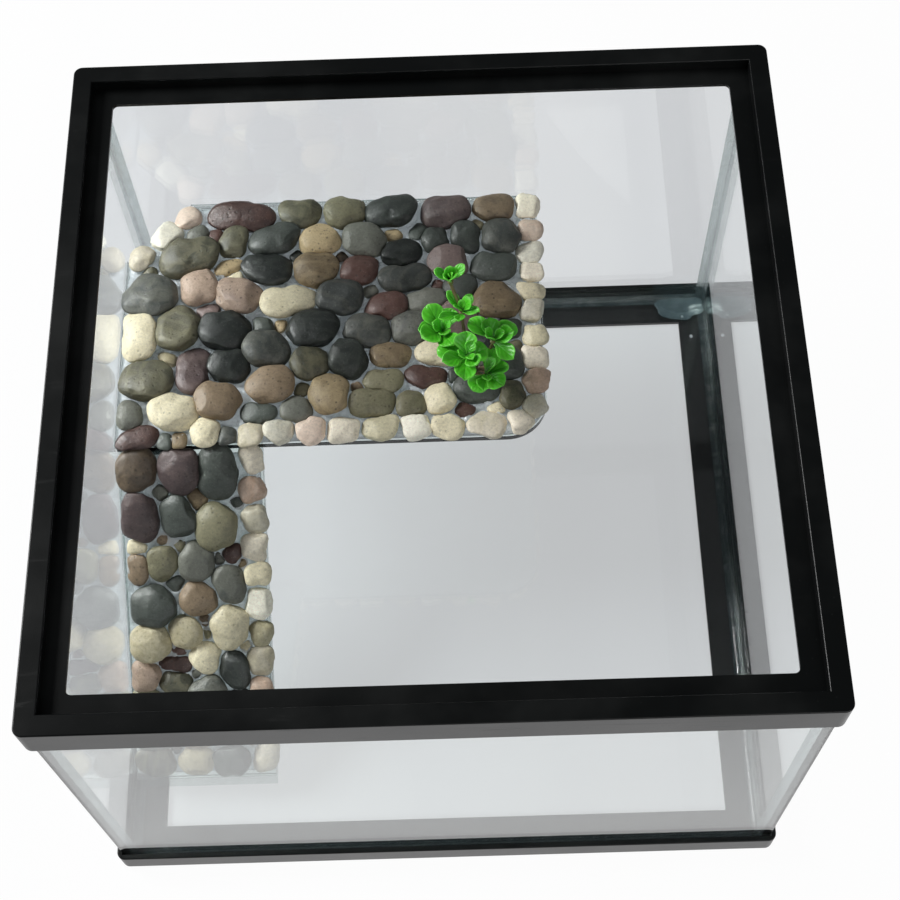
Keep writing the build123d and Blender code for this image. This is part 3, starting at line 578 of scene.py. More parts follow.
# What a pebble's points hold: its tint, how veined it is, and the depth in its layers
PEBBLE_VALUES = ("pebble_tint", "pebble_vein", "pebble_layer")
# What a leaf's points hold: how far along it and across it they are, and its tint
LEAF_VALUES = ("leaf_along", "leaf_across", "leaf_tint")

# How pebbles are worn: the ball's fineness, share of the growth, egg shape, plumpness, flats and lumps
ROUNDED = {
    "detail": 5, "growth": (0.6, 1.1), "egg": (0.04, 0.15), "plump": (0.88, 1.04),
    "flats": 3, "flat_depth": (0.82, 0.95), "lumps": 1.0,
}
SMALL = {**ROUNDED, "detail": 4}
ANGULAR = {
    "detail": 4, "growth": (0.9, 1.2), "egg": (0.07, 0.15), "plump": (0.78, 0.95),
    "flats": 5, "flat_depth": (0.70, 0.88), "lumps": 1.3,
}


def finish_piece(name, bm, material, nodes, smooth=True):
    """Turn a bmesh into a named piece that rides on the tank and stands for its CAD nodes."""
    mesh = bpy.data.meshes.new(name)
    bm.to_mesh(mesh)
    bm.free()
    mesh.polygons.foreach_set("use_smooth", [smooth] * len(mesh.polygons))
    piece = bpy.data.objects.new(name, mesh)
    bpy.context.scene.collection.objects.link(piece)
    mesh.materials.append(material)
    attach(piece, "root")
    if nodes:
        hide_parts(*nodes)
    return piece


def dress_node(node, material):
    """Give a CAD node that keeps its own shape a better material."""
    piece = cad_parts[node]
    piece.data.materials.clear()
    piece.data.materials.append(material)


def face_level(node):
    """The plane of a node's largest upward face: X across the tank, Z out of the face."""
    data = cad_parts[node].data
    normal = Vector((0, 0, 0))
    for polygon in data.polygons:
        if polygon.normal.z > 0.5:
            normal += polygon.normal * polygon.area
    normal.normalize()
    across = Vector((1, 0, 0))
    up_slope = normal.cross(across)
    top = max((vertex.co for vertex in data.vertices), key=lambda co: co.dot(normal))
    origin = normal * top.dot(normal)
    level = Matrix((across, up_slope, normal)).transposed().to_4x4()
    level.translation = origin
    return level


def slab(name, outline, level, thickness, arris, material, node):
    """A sheet of glass: an outline on a plane, thickened downwards and with ground edges."""
    bm = bmesh.new()
    rim = [bm.verts.new(level @ Vector((x, y, 0.0))) for x, y in outline]
    top = bm.faces.new(rim)
    bmesh.ops.recalc_face_normals(bm, faces=[top])
    grown = bmesh.ops.extrude_face_region(bm, geom=[top])
    lower = [item for item in grown["geom"] if isinstance(item, bmesh.types.BMVert)]
    bmesh.ops.translate(bm, verts=lower, vec=level.to_3x3() @ Vector((0, 0, -thickness)))
    bmesh.ops.recalc_face_normals(bm, faces=bm.faces)
    bmesh.ops.bevel(
        bm, geom=list(bm.edges), offset=arris, segments=2, profile=0.5, affect="EDGES", material=-1,
        clamp_overlap=True,
    )
    return finish_piece(name, bm, material, [node], smooth=False)


def box_outline(low, high, inset):
    """The four corners of a box seen from above, drawn in a little."""
    return [
        (low.x + inset, low.y + inset), (high.x - inset, low.y + inset),
        (high.x - inset, high.y - inset), (low.x + inset, high.y - inset),
    ]


class Pebble:
    """A CAD pebble measured on the plane that it lies on, in metres."""

    def __init__(self, points):
        across = [point.x for point in points]
        along = [point.y for point in points]
        heights = [point.z for point in points]
        self.x = (min(across) + max(across)) / 2
        self.y = (min(along) + max(along)) / 2
        spread = [(x - self.x, y - self.y) for x, y in zip(across, along)]
        xx = sum(x * x for x, _ in spread)
        yy = sum(y * y for _, y in spread)
        xy = sum(x * y for x, y in spread)
        self.turn = 0.5 * math.atan2(2 * xy, xx - yy)
        cos, sin = math.cos(self.turn), math.sin(self.turn)
        half_long = max(abs(x * cos + y * sin) for x, y in spread)
        half_wide = max(abs(y * cos - x * sin) for x, y in spread)
        self.radius = min(half_long, half_wide)
        self.half_core = max(half_long - half_wide, 0.0)
        self.reach = max(half_long, half_wide)
        self.height = max(heights) - min(heights)
        self.lowest = min(heights)

    def clearance(self, x, y):
        """How far a point of the plane is outside the pebble's outline."""
        cos, sin = math.cos(self.turn), math.sin(self.turn)
        away_x, away_y = x - self.x, y - self.y
        along = away_x * cos + away_y * sin
        across = away_y * cos - away_x * sin
        beyond = max(abs(along) - self.half_core, 0.0)
        return math.hypot(beyond, across) - self.radius


def islands(bm):
    """The separate solids of a bmesh, as lists of vertices."""
    waiting = set(bm.verts)
    found = []
    while waiting:
        edge = [waiting.pop()]
        island = []
        while edge:
            vert = edge.pop()
            island.append(vert)
            for link in vert.link_edges:
                other = link.other_vert(vert)
                if other in waiting:
                    waiting.remove(other)
                    edge.append(other)
        found.append(island)
    return found


def measure_pebbles(node, level):
    """Every pebble of a CAD node, in rows from front to back."""
    bm = bmesh.new()
    bm.from_mesh(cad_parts[node].data)
    bmesh.ops.remove_doubles(bm, verts=bm.verts, dist=SAME_POINT)
    flat = level.inverted()
    pebbles = [Pebble([flat @ vert.co for vert in island]) for island in islands(bm)]
    bm.free()
    pebbles.sort(key=lambda pebble: (round(pebble.y, 4), round(pebble.x, 4)))
    return pebbles


def fitted_outline(pebble, others, borders, settings):
    """How far a pebble reaches each way: out to halfway to its neighbours, within its growth."""
    near = [
        other for other in others
        if other is not pebble and math.dist((other.x, other.y), (pebble.x, pebble.y))
        < other.reach + pebble.reach + 2 * settings.growth
    ]
    reaches = []
    for step in range(OUTLINE_STEPS):
        angle = 2 * math.pi * step / OUTLINE_STEPS
        cos, sin = math.cos(angle), math.sin(angle)
        low = LEAST_REACH * pebble.radius
        high = pebble.reach + settings.growth
        for _ in range(HALVINGS):
            middle = (low + high) / 2
            x, y = pebble.x + cos * middle, pebble.y + sin * middle
            own = pebble.clearance(x, y)
            fits = own < settings.growth and all(nx * x + ny * y < reach for nx, ny, reach in borders)
            if fits and own > -settings.growth:
                fits = all(other.clearance(x, y) - own > settings.gap for other in near)
            if fits:
                low = middle
            else:
                high = middle
        reaches.append(low)
    return reaches


def worn_outline(pebble, fitted, growth, egg, draw):
    """A rounded pebble's own outline, a little egg shaped, held inside the room that it has."""
    long_half = pebble.half_core + pebble.radius + growth
    wide_half = pebble.radius + growth
    second, third = draw.uniform(0, math.tau), draw.uniform(0, math.tau)
    reaches = []
    for step in range(OUTLINE_STEPS):
        angle = 2 * math.pi * step / OUTLINE_STEPS
        turned = angle - pebble.turn
        own = long_half * wide_half / math.hypot(wide_half * math.cos(turned), long_half * math.sin(turned))
        own *= 1 + 0.6 * egg * math.cos(2 * angle + second) + egg * math.cos(3 * angle + third)
        reaches.append(min(own, fitted[step]))
    for _ in range(SMOOTHING_ROUNDS):
        reaches = [
            (reaches[step - 1] + 2 * reaches[step] + reaches[(step + 1) % OUTLINE_STEPS]) / 4
            for step in range(OUTLINE_STEPS)
        ]
    return reaches


def reach_at(reaches, angle):
    """An outline's reach at any angle, between its two nearest steps."""
    place = (angle / (2 * math.pi)) % 1.0 * len(reaches)
    low = int(place) % len(reaches)
    share = place - int(place)
    return reaches[low] * (1 - share) + reaches[(low + 1) % len(reaches)] * share


def add_pebble(bm, pebble, fitted, level, draw, settings, wear):
    """One pebble: a ball shaped to its outline, with worn flats and lumps."""
    made = bmesh.ops.create_icosphere(bm, subdivisions=wear["detail"], radius=1.0)["verts"]
    turn = draw.uniform(0, math.tau)
    spin = Matrix.Rotation(turn, 3, Vector((draw.gauss(0, 1), draw.gauss(0, 1), draw.gauss(0, 1))))
    offset = Vector((draw.uniform(0, 50), draw.uniform(0, 50), draw.uniform(0, 50)))
    growth = settings.growth * draw.uniform(*wear["growth"])
    egg = draw.uniform(*wear["egg"])
    reaches = worn_outline(pebble, fitted, growth, egg, draw)
    plump = draw.uniform(*wear["plump"])
    crown = draw.uniform(0.86, 1.0)
    lean = Vector((draw.uniform(-0.18, 0.18), draw.uniform(-0.18, 0.18)))
    tilt = Vector((draw.uniform(-0.13, 0.13), draw.uniform(-0.13, 0.13)))
    tint, vein = draw.random(), draw.random()
    layer_axis = Vector((draw.gauss(0, 1), draw.gauss(0, 1), draw.gauss(0, 0.6))).normalized()
    layer_start = draw.uniform(0, 0.05)
    flats = []
    for _ in range(wear["flats"]):
        facing = Vector((draw.gauss(0, 1), draw.gauss(0, 1), draw.uniform(-0.2, 1.1))).normalized()
        flats.append((facing, draw.uniform(*wear["flat_depth"])))
    lumps = settings.lumpiness * wear["lumps"]
    tints, veins, layers = (bm.verts.layers.float[name] for name in PEBBLE_VALUES)
    for vert in made:
        ball = spin @ vert.co
        share = 1.0
        for facing, depth in flats:
            towards = ball.dot(facing)
            if towards > depth:
                share = min(share, 1.0 + (depth / towards - 1.0) * settings.facet_depth)
        large, middling, small = (noise.noise(ball * size + offset) for size in (1.1, 2.6, 9.0))
        share *= 1.0 + lumps * large + 0.35 * lumps * middling
        share *= 1.0 + 0.10 * lumps * small
        flat = math.hypot(ball.x, ball.y)
        angle = math.atan2(ball.y, ball.x)
        reach = reach_at(reaches, angle) * share * flat ** plump
        rise = pebble.height / 2 * (1 + math.copysign(abs(ball.z) ** crown, ball.z) * share)
        side = Vector((math.cos(angle) * reach, math.sin(angle) * reach))
        rise = max(rise + tilt.dot(side), -DEEPEST)
        side += lean * rise
        spot = Vector((pebble.x + side.x, pebble.y + side.y, pebble.lowest + rise - settings.sink))
        vert[tints] = tint
        vert[veins] = vein
        vert[layers] = spot.dot(layer_axis) + layer_start
        vert.co = level @ spot


def bmesh_with(names):
    """An empty bmesh whose points hold the named values."""
    bm = bmesh.new()
    for name in names:
        bm.verts.layers.float.new(name)
    return bm


# Materials and measures that several operators use
BUILT = {}
# Pebbles this near the joint between ramp and platform move this far towards it
JOINT_ROW, JOINT_SHIFT = 7 * MM, 2.2 * MM
# How far pebbles may reach past the sides, so much more at the front, past the joint and past the foot
SIDE_SPILL, FRONT_SPILL, JOINT_SPILL, FOOT_SPILL = 2.6 * MM, 1.5 * MM, 4.5 * MM, 2 * MM


def field_data():
    """The two planes with pebbles: their level, their borders and every pebble by node."""
    if "fields" in BUILT:
        return BUILT["fields"]
    fields = {}
    ramp_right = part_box("ramp_glass")[1].x
    for field in ("platform", "ramp"):
        level = face_level(field + "_bedding")
        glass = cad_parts[field + "_glass"].data
        glass_points = [level.inverted() @ vertex.co for vertex in glass.vertices]
        left = min(point.x for point in glass_points)
        right = max(point.x for point in glass_points)
        front = min(point.y for point in glass_points)
        back = max(point.y for point in glass_points)
        nodes = sorted(
            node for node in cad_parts
            if node.startswith(field + "_") and (node.endswith("_stones") or node.endswith("_edging"))
        )
        pebbles = {node: measure_pebbles(node, level) for node in nodes}
        every = [pebble for group in pebbles.values() for pebble in group]
        # The rows on both sides of the joint between ramp and platform move towards it
        towards_joint = 1 if field == "ramp" else -1
        joint = max(pebble.y + pebble.radius for pebble in every) if field == "ramp" else front
        for pebble in every:
            near_joint = abs(pebble.y + towards_joint * pebble.radius - joint) < JOINT_ROW
            if near_joint and pebble.x < ramp_right:
                pebble.y += towards_joint * JOINT_SHIFT
        borders = [(-1.0, 0.0, -left), (1.0, 0.0, right + SIDE_SPILL)]
        if field == "platform":
            borders += [(0.0, 1.0, back), (0.0, -1.0, -front + SIDE_SPILL + FRONT_SPILL)]
        else:
            first = max(pebble.y + pebble.radius for pebble in every)
            last = min(pebble.y - pebble.radius for pebble in every)
            borders += [(0.0, 1.0, first + JOINT_SPILL), (0.0, -1.0, -last + FOOT_SPILL)]
        fields[field] = {
            "level": level, "left": left, "right": right, "front": front, "back": back,
            "pebbles": pebbles, "every": every, "borders": borders,
        }
    BUILT["fields"] = fields
    return fields


def pebble_group():
    """The pebble surface, made once."""
    if "pebble_group" not in BUILT:
        BUILT["pebble_group"] = make_pebble_group()
    return BUILT["pebble_group"]


def pebble_material(tone):
    """The material of one tone, made once."""
    if tone not in BUILT:
        BUILT[tone] = make_pebble_material(pebble_group(), tone)
    return BUILT[tone]


def silicone_material(kind):
    """Clear silicone of one kind, made once: a seam wets its glass, so that it hardly shows."""
    settings = bpy.context.scene.tank_silicone
    # Kind: tint, milk, how milky, height of the bumps in metres, and the share of light that passes straight
    kinds = {
        "bed": (settings.tint, settings.bed_milk, 0.46, 0.0018, 0.0),
        "drop": (settings.tint, settings.bed_milk, 0.40, 0.0003, 0.0),
        "seam": (settings.seam_tint, settings.seam_milk, 0.10, 0.0002, 0.45),
        "smear": (settings.seam_tint, settings.seam_milk, 0.22, 0.0004, 0.0),
    }
    name = "clear_silicone_" + kind
    if name not in BUILT:
        BUILT[name] = make_silicone_material(name, *kinds[kind])
    return BUILT[name]


class TANK_OT_dress_frames(bpy.types.Operator):
    """Black moulded plastic on the top frame and the base frame"""

    bl_idname = "tank.dress_frames"
    bl_label = "Dress the frames"

    def execute(self, context):
        material = make_frame_material(make_moulded_group(), context.scene.tank_plastic)
        for node in ("top_frame", "base_frame", "top_frame_bond", "base_frame_bond"):
            dress_node(node, material)
        return {"FINISHED"}


class TANK_OT_make_panes(bpy.types.Operator):
    """Five panes with ground edges, and the glass of the platform and the ramp"""

    bl_idname = "tank.make_panes"
    bl_label = "Make the glass"

    def execute(self, context):
        settings = context.scene.tank_glass
        glass = make_glass_material("tank_glass", settings.edge_tint, settings.edge_density, PANE_PASSES)
        shelf = make_glass_material("shelf_glass", settings.edge_tint, settings.shelf_density, SHELF_PASSES)
        gap = settings.air_gap
        for node in ("front_pane", "back_pane", "left_pane", "right_pane", "bottom_pane"):
            low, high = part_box(node)
            slab(
                node + "_glass", box_outline(low, high, gap), Matrix.Translation((0, 0, high.z - gap)),
                high.z - low.z - 2 * gap, settings.arris, glass, node,
            )
        for field in ("platform", "ramp"):
            self.make_shelf(field, shelf, settings)
        return {"FINISHED"}

    def make_shelf(self, field, material, settings):
        """A shelf follows the outline of its CAD node's upper face."""
        node = field + "_glass"
        level = face_level(node)
        flat = level.inverted()
        bm = bmesh.new()
        bm.from_mesh(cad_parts[node].data)
        bmesh.ops.remove_doubles(bm, verts=bm.verts, dist=SAME_POINT)
        normal = level.to_3x3() @ Vector((0, 0, 1))
        top = [face for face in bm.faces if face.normal.dot(normal) > FACING]
        rest = [face for face in bm.faces if face.normal.dot(normal) <= FACING]
        heights = [(flat @ vert.co).z for vert in bm.verts]
        thickness = max(heights) - min(heights) - 2 * settings.air_gap
        bmesh.ops.delete(bm, geom=rest, context="FACES")
        bmesh.ops.dissolve_faces(bm, faces=[face for face in top if face.is_valid])
        face = max(bm.faces, key=lambda item: item.calc_area())
        outline = [(flat @ vert.co).xy for vert in face.verts]
        bm.free()
        middle = sum(outline, Vector((0, 0))) / len(outline)
        outline = [tuple(middle + (point - middle) * SHELF_SHRINK) for point in outline]
        lowered = level @ Matrix.Translation((0, 0, -settings.air_gap))
        slab(field + "_sheet", outline, lowered, thickness, settings.arris, material, node)


# The silicone trace on the back pane, in mm: where it starts, its length, height, drop and radius
TRACE_START, TRACE_LENGTH, TRACE_HEIGHT, TRACE_DROP, TRACE_RADIUS = -152.5, 218.0, 141.1, 2.5, 0.34
TRACE_STEPS = 60
# The smear, in mm from the floor's back right corner: its middle, half size, far end and gap to the panes
SMEAR_MIDDLE, SMEAR_REACH, SMEAR_FURTHEST, SMEAR_GAP = (-17, -8), (17, 10), (-36, -20), 0.3
# Set drops on the floor: across, back and radius in mm
DROPS = ((175.5, 175.4, 0.9), (180.5, 159.2, 1.1))


class TANK_OT_make_silicone(bpy.types.Operator):
    """Silicone in the corners, round the floor and along the shelves"""

    bl_idname = "tank.make_silicone"
    bl_label = "Make the silicone seams"

    def execute(self, context):
        material = silicone_material("seam")
        for node in sorted(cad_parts):
            if "seam" in node or node.endswith("_bead"):
                dress_node(node, material)
        self.make_back_trace(silicone_material("smear"))
        self.make_corner_smear(silicone_material("smear"))
        self.make_drops(silicone_material("drop"))
        return {"FINISHED"}

    def make_back_trace(self, material):
        """The thin upper rim of the silicone that holds the platform to the back pane."""
        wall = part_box("back_pane")[0].y
        bm = bmesh.new()
        points, radii = [], []
        for step in range(TRACE_STEPS + 1):
            share = step / TRACE_STEPS
            waver = noise.noise(Vector((share * 14, 2.0, 0.0)))
            height = TRACE_HEIGHT - TRACE_DROP * share + 0.5 * waver
            points.append(Vector((TRACE_START + TRACE_LENGTH * share, 0.0, height)) * MM)
            points[-1].y = wall - 0.25 * MM
            radii.append((TRACE_RADIUS + 0.12 * waver) * MM)
        add_tube(bm, points, radii, 8)
        bmesh.ops.recalc_face_normals(bm, faces=bm.faces)
        finish_piece("back_silicone_trace", bm, material, [])

    def make_corner_smear(self, material):
        """Silicone wiped across the floor in the back right corner, where it was pressed with a finger."""
        corner = Vector((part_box("right_pane")[0].x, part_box("back_pane")[0].y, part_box("bottom_pane")[1].z))
        bm = bmesh.new()
        rim = bmesh.ops.create_circle(bm, cap_ends=True, segments=72, radius=1.0)["verts"]
        for vert in rim:
            angle = math.atan2(vert.co.y, vert.co.x)
            ragged = 1 + 0.22 * noise.noise(Vector((math.cos(angle), math.sin(angle), 4.0)) * 1.7)
            ragged += 0.05 * noise.noise(Vector((math.cos(angle), math.sin(angle), 7.0)) * 9)
            across = SMEAR_MIDDLE[0] + SMEAR_REACH[0] * ragged * math.cos(angle)
            along = SMEAR_MIDDLE[1] + SMEAR_REACH[1] * ragged * math.sin(angle)
            vert.co.x = min(max(across, SMEAR_FURTHEST[0]), -SMEAR_GAP)
            vert.co.y = min(max(along, SMEAR_FURTHEST[1]), -SMEAR_GAP)
        bmesh.ops.scale(bm, vec=(MM, MM, MM), verts=rim)
        bmesh.ops.translate(bm, verts=rim, vec=corner + Vector((0, 0, 0.06 * MM)))
        bmesh.ops.recalc_face_normals(bm, faces=bm.faces)
        face = next(iter(bm.faces))
        if face.normal.z < 0:
            bmesh.ops.reverse_faces(bm, faces=[face])
        grown = bmesh.ops.extrude_face_region(bm, geom=[face])["geom"]
        top = next(item for item in grown if isinstance(item, bmesh.types.BMFace))
        bmesh.ops.translate(bm, verts=list(top.verts), vec=Vector((0, 0, 0.5 * MM)))
        bmesh.ops.inset_region(bm, faces=[top], thickness=0.9 * MM, depth=0.3 * MM)
        bmesh.ops.recalc_face_normals(bm, faces=bm.faces)
        finish_piece("corner_silicone_smear", bm, material, [])

    def make_drops(self, material):
        """Two set drops of silicone beside the back right corner."""
        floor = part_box("bottom_pane")[1].z
        bm = bmesh.new()
        for x, y, radius in DROPS:
            ball = bmesh.ops.create_icosphere(bm, subdivisions=3, radius=radius * MM)["verts"]
            for vert in ball:
                vert.co *= 1 + 0.25 * noise.noise(vert.co * 900)
            bmesh.ops.scale(bm, vec=(1.0, 1.2, 0.5), verts=ball)
            bmesh.ops.translate(bm, verts=ball, vec=Vector((x * MM, y * MM, floor + 0.35 * radius * MM)))
        finish_piece("silicone_drops", bm, material, [])


# How far the bedding stays inside the glass, its gap to the glass below and its least thickness
BED_INSET, BED_GAP, BED_LEAST = 1.0 * MM, 0.05 * MM, 0.3 * MM
# The bedding climbs highest this far from a pebble, within this width to both sides
CLIMB_FROM, CLIMB_WIDTH = 0.6 * MM, 2.2 * MM
# Radius of the platform's round corner, and the straight cuts that make it
PLATFORM_CORNER, CORNER_CUTS = 25.0 * MM, 8


class TANK_OT_make_bedding(bpy.types.Operator):
    """Lumpy clear silicone between and under the pebbles"""

    bl_idname = "tank.make_bedding"
    bl_label = "Make the bedding"

    def execute(self, context):
        for field, data in field_data().items():
            self.make_bed(field, data, context.scene.tank_silicone)
        return {"FINISHED"}

    def make_bed(self, field, data, settings):
        """A sheet cut into cells, thickened, and raised into lumps and up the pebbles."""
        node = field + "_bedding"
        level = data["level"]
        flat = level.inverted()
        points = [flat @ vertex.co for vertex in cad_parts[node].data.vertices]
        depth = max(point.z for point in points) - min(point.z for point in points)
        bm = bmesh.new()
        left, right = data["left"] + BED_INSET, data["right"] - BED_INSET
        front, back = data["front"] + BED_INSET, data["back"] - BED_INSET
        if field == "ramp":
            front, back = min(point.y for point in points), max(point.y for point in points)
        corners = ((left, front), (right, front), (right, back), (left, back))
        sheet = bm.faces.new([bm.verts.new((x, y, 0.0)) for x, y in corners])
        if sheet.normal.z < 0:
            sheet.normal_flip()
        for axis, low, high in ((Vector((1, 0, 0)), left, right), (Vector((0, 1, 0)), front, back)):
            cuts = int((high - low) / settings.cell)
            for cut in range(1, cuts):
                self.cut(bm, axis * (low + (high - low) * cut / cuts), axis)
        if field == "platform":
            self.cut_corners(bm, data)
        bmesh.ops.recalc_face_normals(bm, faces=bm.faces)
        if next(iter(bm.faces)).normal.z < 0:
            bmesh.ops.reverse_faces(bm, faces=bm.faces)
        grown = bmesh.ops.extrude_face_region(bm, geom=list(bm.faces))
        upper = [item for item in grown["geom"] if isinstance(item, bmesh.types.BMVert)]
        above = set(upper)
        rim = {vert for vert in upper if any(not above.issuperset(face.verts) for face in vert.link_faces)}
        for vert in bm.verts:
            vert.co.z = BED_GAP - depth
        every = data["every"]
        for vert in upper:
            x, y = vert.co.x, vert.co.y
            room = min(pebble.clearance(x, y) for pebble in every)
            climb = max(0.0, 1.0 - abs(room - CLIMB_FROM) / CLIMB_WIDTH)
            rise = settings.meniscus * climb * climb * (0.75 + 0.5 * noise.noise(Vector((x, y, 0.3)) * 90))
            rise += settings.lumps * noise.noise(Vector((x, y, 0.0)) * 210)
            if vert in rim:
                rise = min(rise, 0.0)
            vert.co.z = max(rise, BED_LEAST - depth)
        bmesh.ops.transform(bm, matrix=level, verts=bm.verts)
        bmesh.ops.recalc_face_normals(bm, faces=bm.faces)
        finish_piece(field + "_bed", bm, silicone_material("bed"), [node])

    def cut(self, bm, place, outward, clear=False):
        """Cut the sheet along a plane, and clear what lies outside it if asked."""
        everything = list(bm.verts) + list(bm.edges) + list(bm.faces)
        bmesh.ops.bisect_plane(
            bm, geom=everything, dist=1e-7, plane_co=place, plane_no=outward, clear_outer=clear
        )

    def cut_corners(self, bm, data):
        """The platform's cut corner at the back and its rounded corner at the front."""
        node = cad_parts["platform_glass"].data
        chamfer = min(vertex.co.x - vertex.co.y for vertex in node.vertices)
        slant = Vector((-1, 1, 0)).normalized()
        self.cut(bm, slant * (-chamfer / math.sqrt(2) - BED_INSET), slant, clear=True)
        middle = Vector((data["right"] - PLATFORM_CORNER, data["front"] + PLATFORM_CORNER, 0.0))
        for step in range(CORNER_CUTS):
            angle = -math.pi / 2 * (step + 0.5) / CORNER_CUTS
            outward = Vector((math.cos(angle), math.sin(angle), 0.0))
            self.cut(bm, middle + outward * (PLATFORM_CORNER - BED_INSET), outward, clear=True)


class TANK_OT_make_pebbles(bpy.types.Operator):
    """River pebbles of nine tones on the platform and the ramp"""

    bl_idname = "tank.make_pebbles"
    bl_label = "Make the pebbles"

    def execute(self, context):
        for field, data in field_data().items():
            for node, pebbles in data["pebbles"].items():
                if node.endswith("_small_stones") or node.endswith("_edging"):
                    continue
                self.make_group(node, pebbles, data, node.split("_")[1])
            self.make_small(field, data)
            for node, pebbles in data["pebbles"].items():
                if node.endswith("_edging"):
                    self.make_edging(node, pebbles, data)
        return {"FINISHED"}

    def make_group(self, node, pebbles, data, tone):
        """Large pebbles of one tone."""
        name = node.replace("_stones", "_pebbles")
        self.make_mixed(node, pebbles, data, (tone,), name, tone + "_stone", ROUNDED)

    def make_small(self, field, data):
        """Small pebbles that fill the gaps."""
        node = field + "_small_stones"
        tones = ("charcoal", "tan", "slate", "maroon", "cream", "olive", "brown")
        name = field + "_small_pebbles"
        self.make_mixed(node, data["pebbles"][node], data, tones, name, "mixed_small_stone", SMALL)

    def make_edging(self, node, pebbles, data):
        """Pale pebbles along the free edges."""
        tones = ("pale", "ivory", "blush", "pale", "moss", "ivory", "cream")
        self.make_mixed(node, pebbles, data, tones, node + "_pebbles", "edging_stone", ANGULAR)

    def make_mixed(self, node, pebbles, data, tones, name, slot, wear):
        """A node's pebbles in one piece, each tone a material of its own."""
        settings = bpy.context.scene.tank_pebbles
        bm = bmesh_with(PEBBLE_VALUES)
        used = []
        for place, pebble in enumerate(pebbles):
            draw = random.Random(f"{node} {place}")
            tone = tones[place % len(tones)]
            if tone not in used:
                used.append(tone)
            before = len(bm.faces)
            fitted = fitted_outline(pebble, data["every"], data["borders"], settings)
            add_pebble(bm, pebble, fitted, data["level"], draw, settings, wear)
            bm.faces.ensure_lookup_table()
            for index in range(before, len(bm.faces)):
                bm.faces[index].material_index = used.index(tone)
        piece = finish_piece(name, bm, pebble_material(used[0]), [node])
        for tone in used[1:]:
            piece.data.materials.append(pebble_material(tone))


# Each whorl: its node, its hub from the plant's foot (right, back, up in mm), leaf length and width in mm,
# leaf lift in degrees, and the bearings of its outer and of its small inner leaves
WHORLS = (
    ("plant_top_whorl", (-10, 27, 61), 13.0, 8.5, 56, (40, 88, 150, 215, 300), (20, 190)),
    ("plant_upper_whorl", (-4, 15, 46), 14.5, 8.5, 46, (10, 62, 130, 190, 255, 320), (95, 200)),
    ("plant_left_whorl", (-16, 7, 36), 17.0, 15.0, 30, (55, 118, 172, 228, 290), (40, 300, 160)),
    ("plant_front_whorl", (-2, -13, 42), 16.0, 13.5, 28, (95, 160, 212, 262, 318, 20), (50, 220, 300)),
    ("plant_right_whorl", (14, 2, 33), 17.0, 14.5, 32, (-50, -5, 42, 95, 150), (150, 230, 20)),
    ("plant_low_whorl", (9, -14, 21), 15.5, 13.0, 18, (-140, -92, -40, 8, 60), (60, 280)),
)
# Height of the platform's bedding, which the plant stands on, and the steps along a stem
BEDDING_TOP = 137.5 * MM
STEM_STEPS = 8


def leaf_outline(along):
    """Half width of a spoon leaf as a share of its greatest, from its stalk to its tip."""
    stalk, widest = 0.15, 0.66
    if along <= widest:
        share = along / widest
        return stalk + (1 - stalk) * (share * share * (3 - 2 * share)) ** 1.15
    return math.sqrt(max(1 - ((along - widest) / (1 - widest)) ** 2, 0.0))


def add_leaf(bm, hub, bearing, lift, length, width, draw):
    """A spoon leaf: narrow stalk, round cupped blade and a groove along its middle."""
    made = bmesh.ops.create_grid(bm, x_segments=14, y_segments=8, size=0.5)["verts"]
    alongs, acrosses, tints = (bm.verts.layers.float[name] for name in LEAF_VALUES)
    tint = draw.random()
    cup = draw.uniform(0.16, 0.30)
    droop = draw.uniform(0.10, 0.28)
    twist = math.radians(draw.uniform(-14, 14))
    turn = Matrix.Rotation(math.radians(bearing), 3, "Z") @ Matrix.Rotation(-math.radians(lift), 3, "Y")
    turn = turn @ Matrix.Rotation(twist, 3, "X")
    for vert in made:
        along = vert.co.x + 0.5
        across = vert.co.y * 2
        half = width / 2 * leaf_outline(along)
        wave = 0.05 * width * math.sin(across * 3 + along * 5 + tint * 6) * along
        lengthways = length * (along + 0.02)
        height = cup * half * across * across - droop * length * along * along + wave
        height -= 0.08 * half * max(0.0, 1 - abs(across) * 4)
        vert[alongs] = along
        vert[acrosses] = across
        vert[tints] = tint
        vert.co = hub + turn @ Vector((lengthways, across * half, height))
    bmesh.ops.remove_doubles(bm, verts=made, dist=0.02 * MM)


def add_tube(bm, points, radii, sides=10):
    """A round tube through points, closed at both ends."""
    ring = bmesh.ops.create_circle(bm, cap_ends=True, segments=sides, radius=radii[0])["verts"]
    first = (points[1] - points[0]).normalized()
    aim = first.to_track_quat("Z", "Y").to_matrix().to_4x4()
    bmesh.ops.transform(bm, matrix=Matrix.Translation(points[0]) @ aim, verts=ring)
    face = next(face for face in ring[0].link_faces if len(face.verts) == sides)
    for index in range(1, len(points)):
        made = bmesh.ops.extrude_face_region(bm, geom=[face])["geom"]
        if index > 1:
            bmesh.ops.delete(bm, geom=[face], context="FACES_ONLY")
        face = next(item for item in made if isinstance(item, bmesh.types.BMFace))
        verts = list(face.verts)
        middle = sum((vert.co for vert in verts), Vector()) / len(verts)
        ahead = points[min(index + 1, len(points) - 1)] - points[index - 1]
        behind = points[index] - points[max(index - 2, 0)] if index > 1 else points[1] - points[0]
        turn = behind.rotation_difference(ahead).to_matrix()
        size = radii[index] / radii[index - 1]
        for vert in verts:
            vert.co = points[index] + turn @ ((vert.co - middle) * size)


